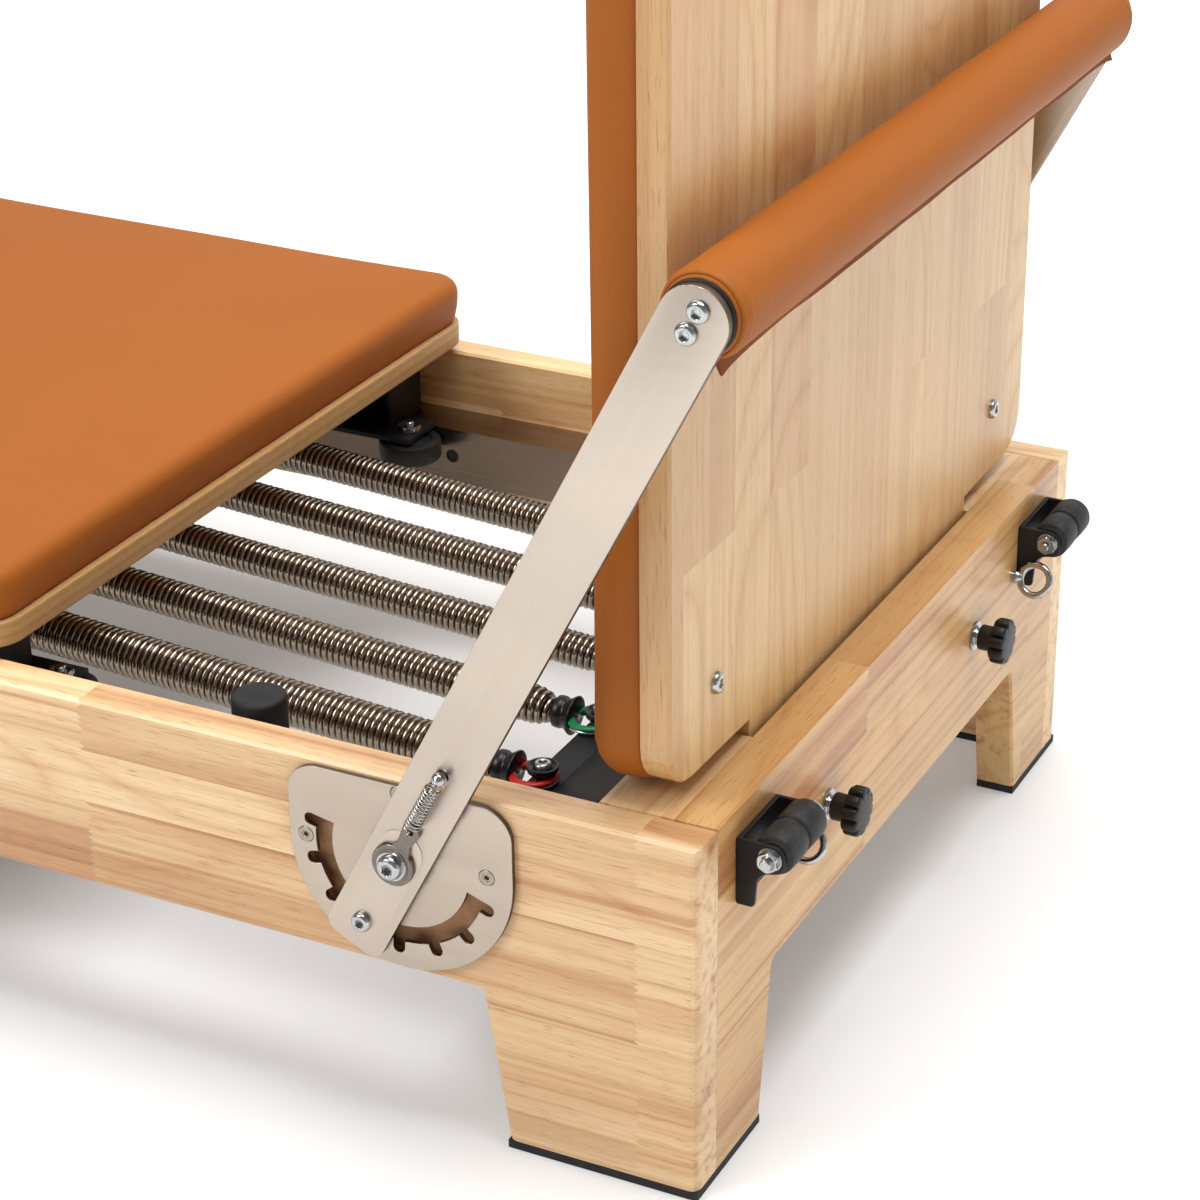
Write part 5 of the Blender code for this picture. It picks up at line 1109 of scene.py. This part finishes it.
class REFORMER_OT_head_fittings(bpy.types.Operator):
    """Builds the pulleys, their bolts and the screws of the pulley frame and the fold hinge"""
    bl_idname = "reformer.head_fittings"
    bl_label = "Head fittings"

    def execute(self, context):
        for label, side in SIDES:
            self.pulley(label, side)
        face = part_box("pulley_frame")[0].x + 0.005
        screws = [sunk_screw(Vector((face + 0.0002, y, FRAME_SCREW_HEIGHT)), X, 0.0050) for y in FRAME_SCREWS]
        put(joined("pulley_frame_screws", screws), "head_frame", "plate_steel")
        for name, end, inset in (("foot", 1, -0.016), ("head", 0, 0.016)):
            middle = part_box("fold_hinge_" + name)[end].x + inset
            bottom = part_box(name + "_middle_board")[0].z - CLEARANCE - LEAF_THICKNESS
            screws = [sunk_screw(Vector((middle, y, bottom - 0.0002)), -Z, 0.0040) for y in HINGE_SCREWS]
            put(joined("hinge_screws_" + name, screws), name + "_frame", "plate_steel")
        return {"FINISHED"}

    def pulley(self, label, side):
        centre, (_, half, radius) = extent("pulley_" + label)
        lower = [(0.0053, -half), (radius * 0.4, -half), (radius * 0.45, -half + 0.0012),
                 (radius * 0.7, -half + 0.0012), (radius * 0.76, -half), (radius - 0.0008, -half),
                 (radius, -half + 0.0008), (radius, -half + 0.0024)]
        groove = [(radius - 0.0015 - 0.0060 * math.sin(math.pi * step / 8), -0.0052 * math.cos(math.pi * step / 8))
                  for step in range(9)]
        put(spun("rope_pulley_" + label, centre, Y, lower + groove + flipped(lower), "moulded_black_plastic", 64),
            "pulley_" + label, "black_plastic", "pulley_" + label)
        bits = [button_bolt(Vector((centre.x, side * PULLEY_BOLT_Y, centre.z)), Y * side, 0.0086, 0.0045, 0.0005),
                button_bolt(Vector((centre.x, centre.y - side * (half + 0.0038), centre.z)), -Y * side, 0.0078,
                            0.0036, 0.0005)]
        put(joined("pulley_bolts_" + label, bits), "head_frame", "plate_steel")


# Stage

# The photograph's camera, fitted to the machine's corners
CAMERA_PLACE, CAMERA_SHIFT = (0.69175, -1.81219, 1.22839), (-0.0729, 0.0070)
CAMERA_RIGHT, CAMERA_AHEAD = (0.90299, 0.42966, 0.00133), (-0.38461, 0.80967, -0.44330)
# Lamps as (name, place, target, size in metres, watts)
LAMPS = (("key_window", (-1.7, -3.3, 3.9), (0.4, 0, 0.3), 2.2, 136),
         ("overhead_bank", (1.3, 0.1, 3.9), (0.8, 0, 0.2), 2.2, 126),
         ("end_bank", (2.1, 0.2, 3.6), (1.1, 0, 0.3), 1.5, 26),
         ("low_strip", (4.6, -0.9, 0.95), (1.1, 0, 0.6), 0.7, 3))


class REFORMER_OT_stage(bpy.types.Operator):
    """Sets the camera, the soft studio light and the pale floor"""
    bl_idname = "reformer.stage"
    bl_label = "Stage"

    def execute(self, context):
        scene = context.scene
        settings = scene.reformer_stage
        scene.view_settings.view_transform = "Standard"
        camera = linked("camera", bpy.data.cameras.new("camera"))
        right, ahead = Vector(CAMERA_RIGHT).normalized(), Vector(CAMERA_AHEAD).normalized()
        camera.matrix_world = (Matrix.Translation(spot(*CAMERA_PLACE))
                               @ Matrix((right, right.cross(ahead), -ahead)).transposed().to_4x4())
        camera.data.lens = settings.lens
        camera.data.shift_x, camera.data.shift_y = CAMERA_SHIFT
        camera.data.clip_start, camera.data.clip_end = 0.05, 60
        scene.camera = camera
        for name, place, target, size, power in LAMPS:
            lamp = bpy.data.lights.new(name, "AREA")
            lamp.shape, lamp.size, lamp.energy = "SQUARE", size, power
            holder = linked(name, lamp)
            holder.location = place
            holder.rotation_mode = "QUATERNION"
            holder.rotation_quaternion = (Vector(target) - Vector(place)).to_track_quat("-Z", "Y")
        self.sky(scene, settings)
        bpy.ops.mesh.primitive_plane_add(size=40)
        floor = bpy.context.active_object
        floor.name = "studio_floor"
        floor.location.z = -0.0005
        # The floor glows away from the machine, so it stays white without lighting the wood from below
        tree, shader, place = blank("matt_white_floor", Roughness=0.9, Base_Color=(0.74, 0.74, 0.74, 1),
                                    Emission_Strength=1.0)
        away = add(tree, "VectorMath", {0: place, 1: (0.62, 1.1, 0.0)}, operation="MULTIPLY")
        reach = add(tree, "VectorMath", {0: away}, out="Value", operation="LENGTH")
        share = add(tree, "Math", {0: reach, 1: 0.25}, operation="MULTIPLY")
        glow = add(tree, "ValToRGB", {"Fac": share}, ((0.15, (0.14, 0.14, 0.14)), (0.48, (0.66, 0.66, 0.66))))
        tree.links.new(glow, shader.inputs["Emission Color"])
        floor.data.materials.append(FINISHES["matt_white_floor"])
        return {"FINISHED"}

    def sky(self, scene, settings):
        world = bpy.data.worlds.new("studio_sky")
        world.use_nodes = True
        scene.world = world
        tree = world.node_tree
        way = add(tree, "SeparateXYZ", {"Vector": add(tree, "TexCoord", out="Generated")}, out=None)
        bands = add(tree, "ValToRGB", {"Fac": way["Z"]}, (
            (0.0, (0.28, 0.27, 0.26)), (0.05, (0.32, 0.31, 0.30)), (0.16, (0.95, 0.95, 0.95)), (0.52, (1, 1, 1)),
            (0.62, (0.5, 0.5, 0.51)), (0.72, (0.5, 0.5, 0.51)), (0.82, (1, 1, 1))))
        # A pale wall behind the machine, which shows as a sheen on lacquered tops
        wall = add(tree, "MapRange", {"Value": way["Y"], "From Min": 0.2, "From Max": 0.8, "To Min": 1.0,
                                      "To Max": 3.2})
        shade = add(tree, "VectorMath", {0: bands, "Scale": wall}, operation="SCALE")
        background = tree.nodes["Background"]
        tree.links.new(shade, background.inputs["Color"])
        background.inputs["Strength"].default_value = settings.sky


OPERATORS = (REFORMER_OT_stage, REFORMER_OT_finishes, REFORMER_OT_jump_board, REFORMER_OT_carriage,
             REFORMER_OT_rests, REFORMER_OT_foot_bar, REFORMER_OT_quadrants, REFORMER_OT_springs,
             REFORMER_OT_spring_bar, REFORMER_OT_track_fittings, REFORMER_OT_end_fittings, REFORMER_OT_head_fittings)


class REFORMER_PT_panel(bpy.types.Panel):
    """Lists the reformer's building steps"""
    bl_idname = "REFORMER_PT_panel"
    bl_label = "Reformer"
    bl_space_type = "VIEW_3D"
    bl_region_type = "UI"
    bl_category = "Reformer"

    def draw(self, context):
        for operator in OPERATORS:
            self.layout.operator(operator.bl_idname)


SETTINGS = {"reformer_timber": TimberSettings, "reformer_leather": LeatherSettings,
            "reformer_springs": SpringSettings, "reformer_stage": StageSettings}


def register():
    for kind in (*SETTINGS.values(), *OPERATORS, REFORMER_PT_panel):
        bpy.utils.register_class(kind)
    for name, kind in SETTINGS.items():
        setattr(bpy.types.Scene, name, PointerProperty(type=kind))


def unregister():
    for name in SETTINGS:
        delattr(bpy.types.Scene, name)
    for kind in (REFORMER_PT_panel, *reversed(OPERATORS), *SETTINGS.values()):
        bpy.utils.unregister_class(kind)


def main():
    register()
    for operator in OPERATORS:
        getattr(bpy.ops.reformer, operator.bl_idname.split(".")[1])()


if __name__ == "__main__":
    main()
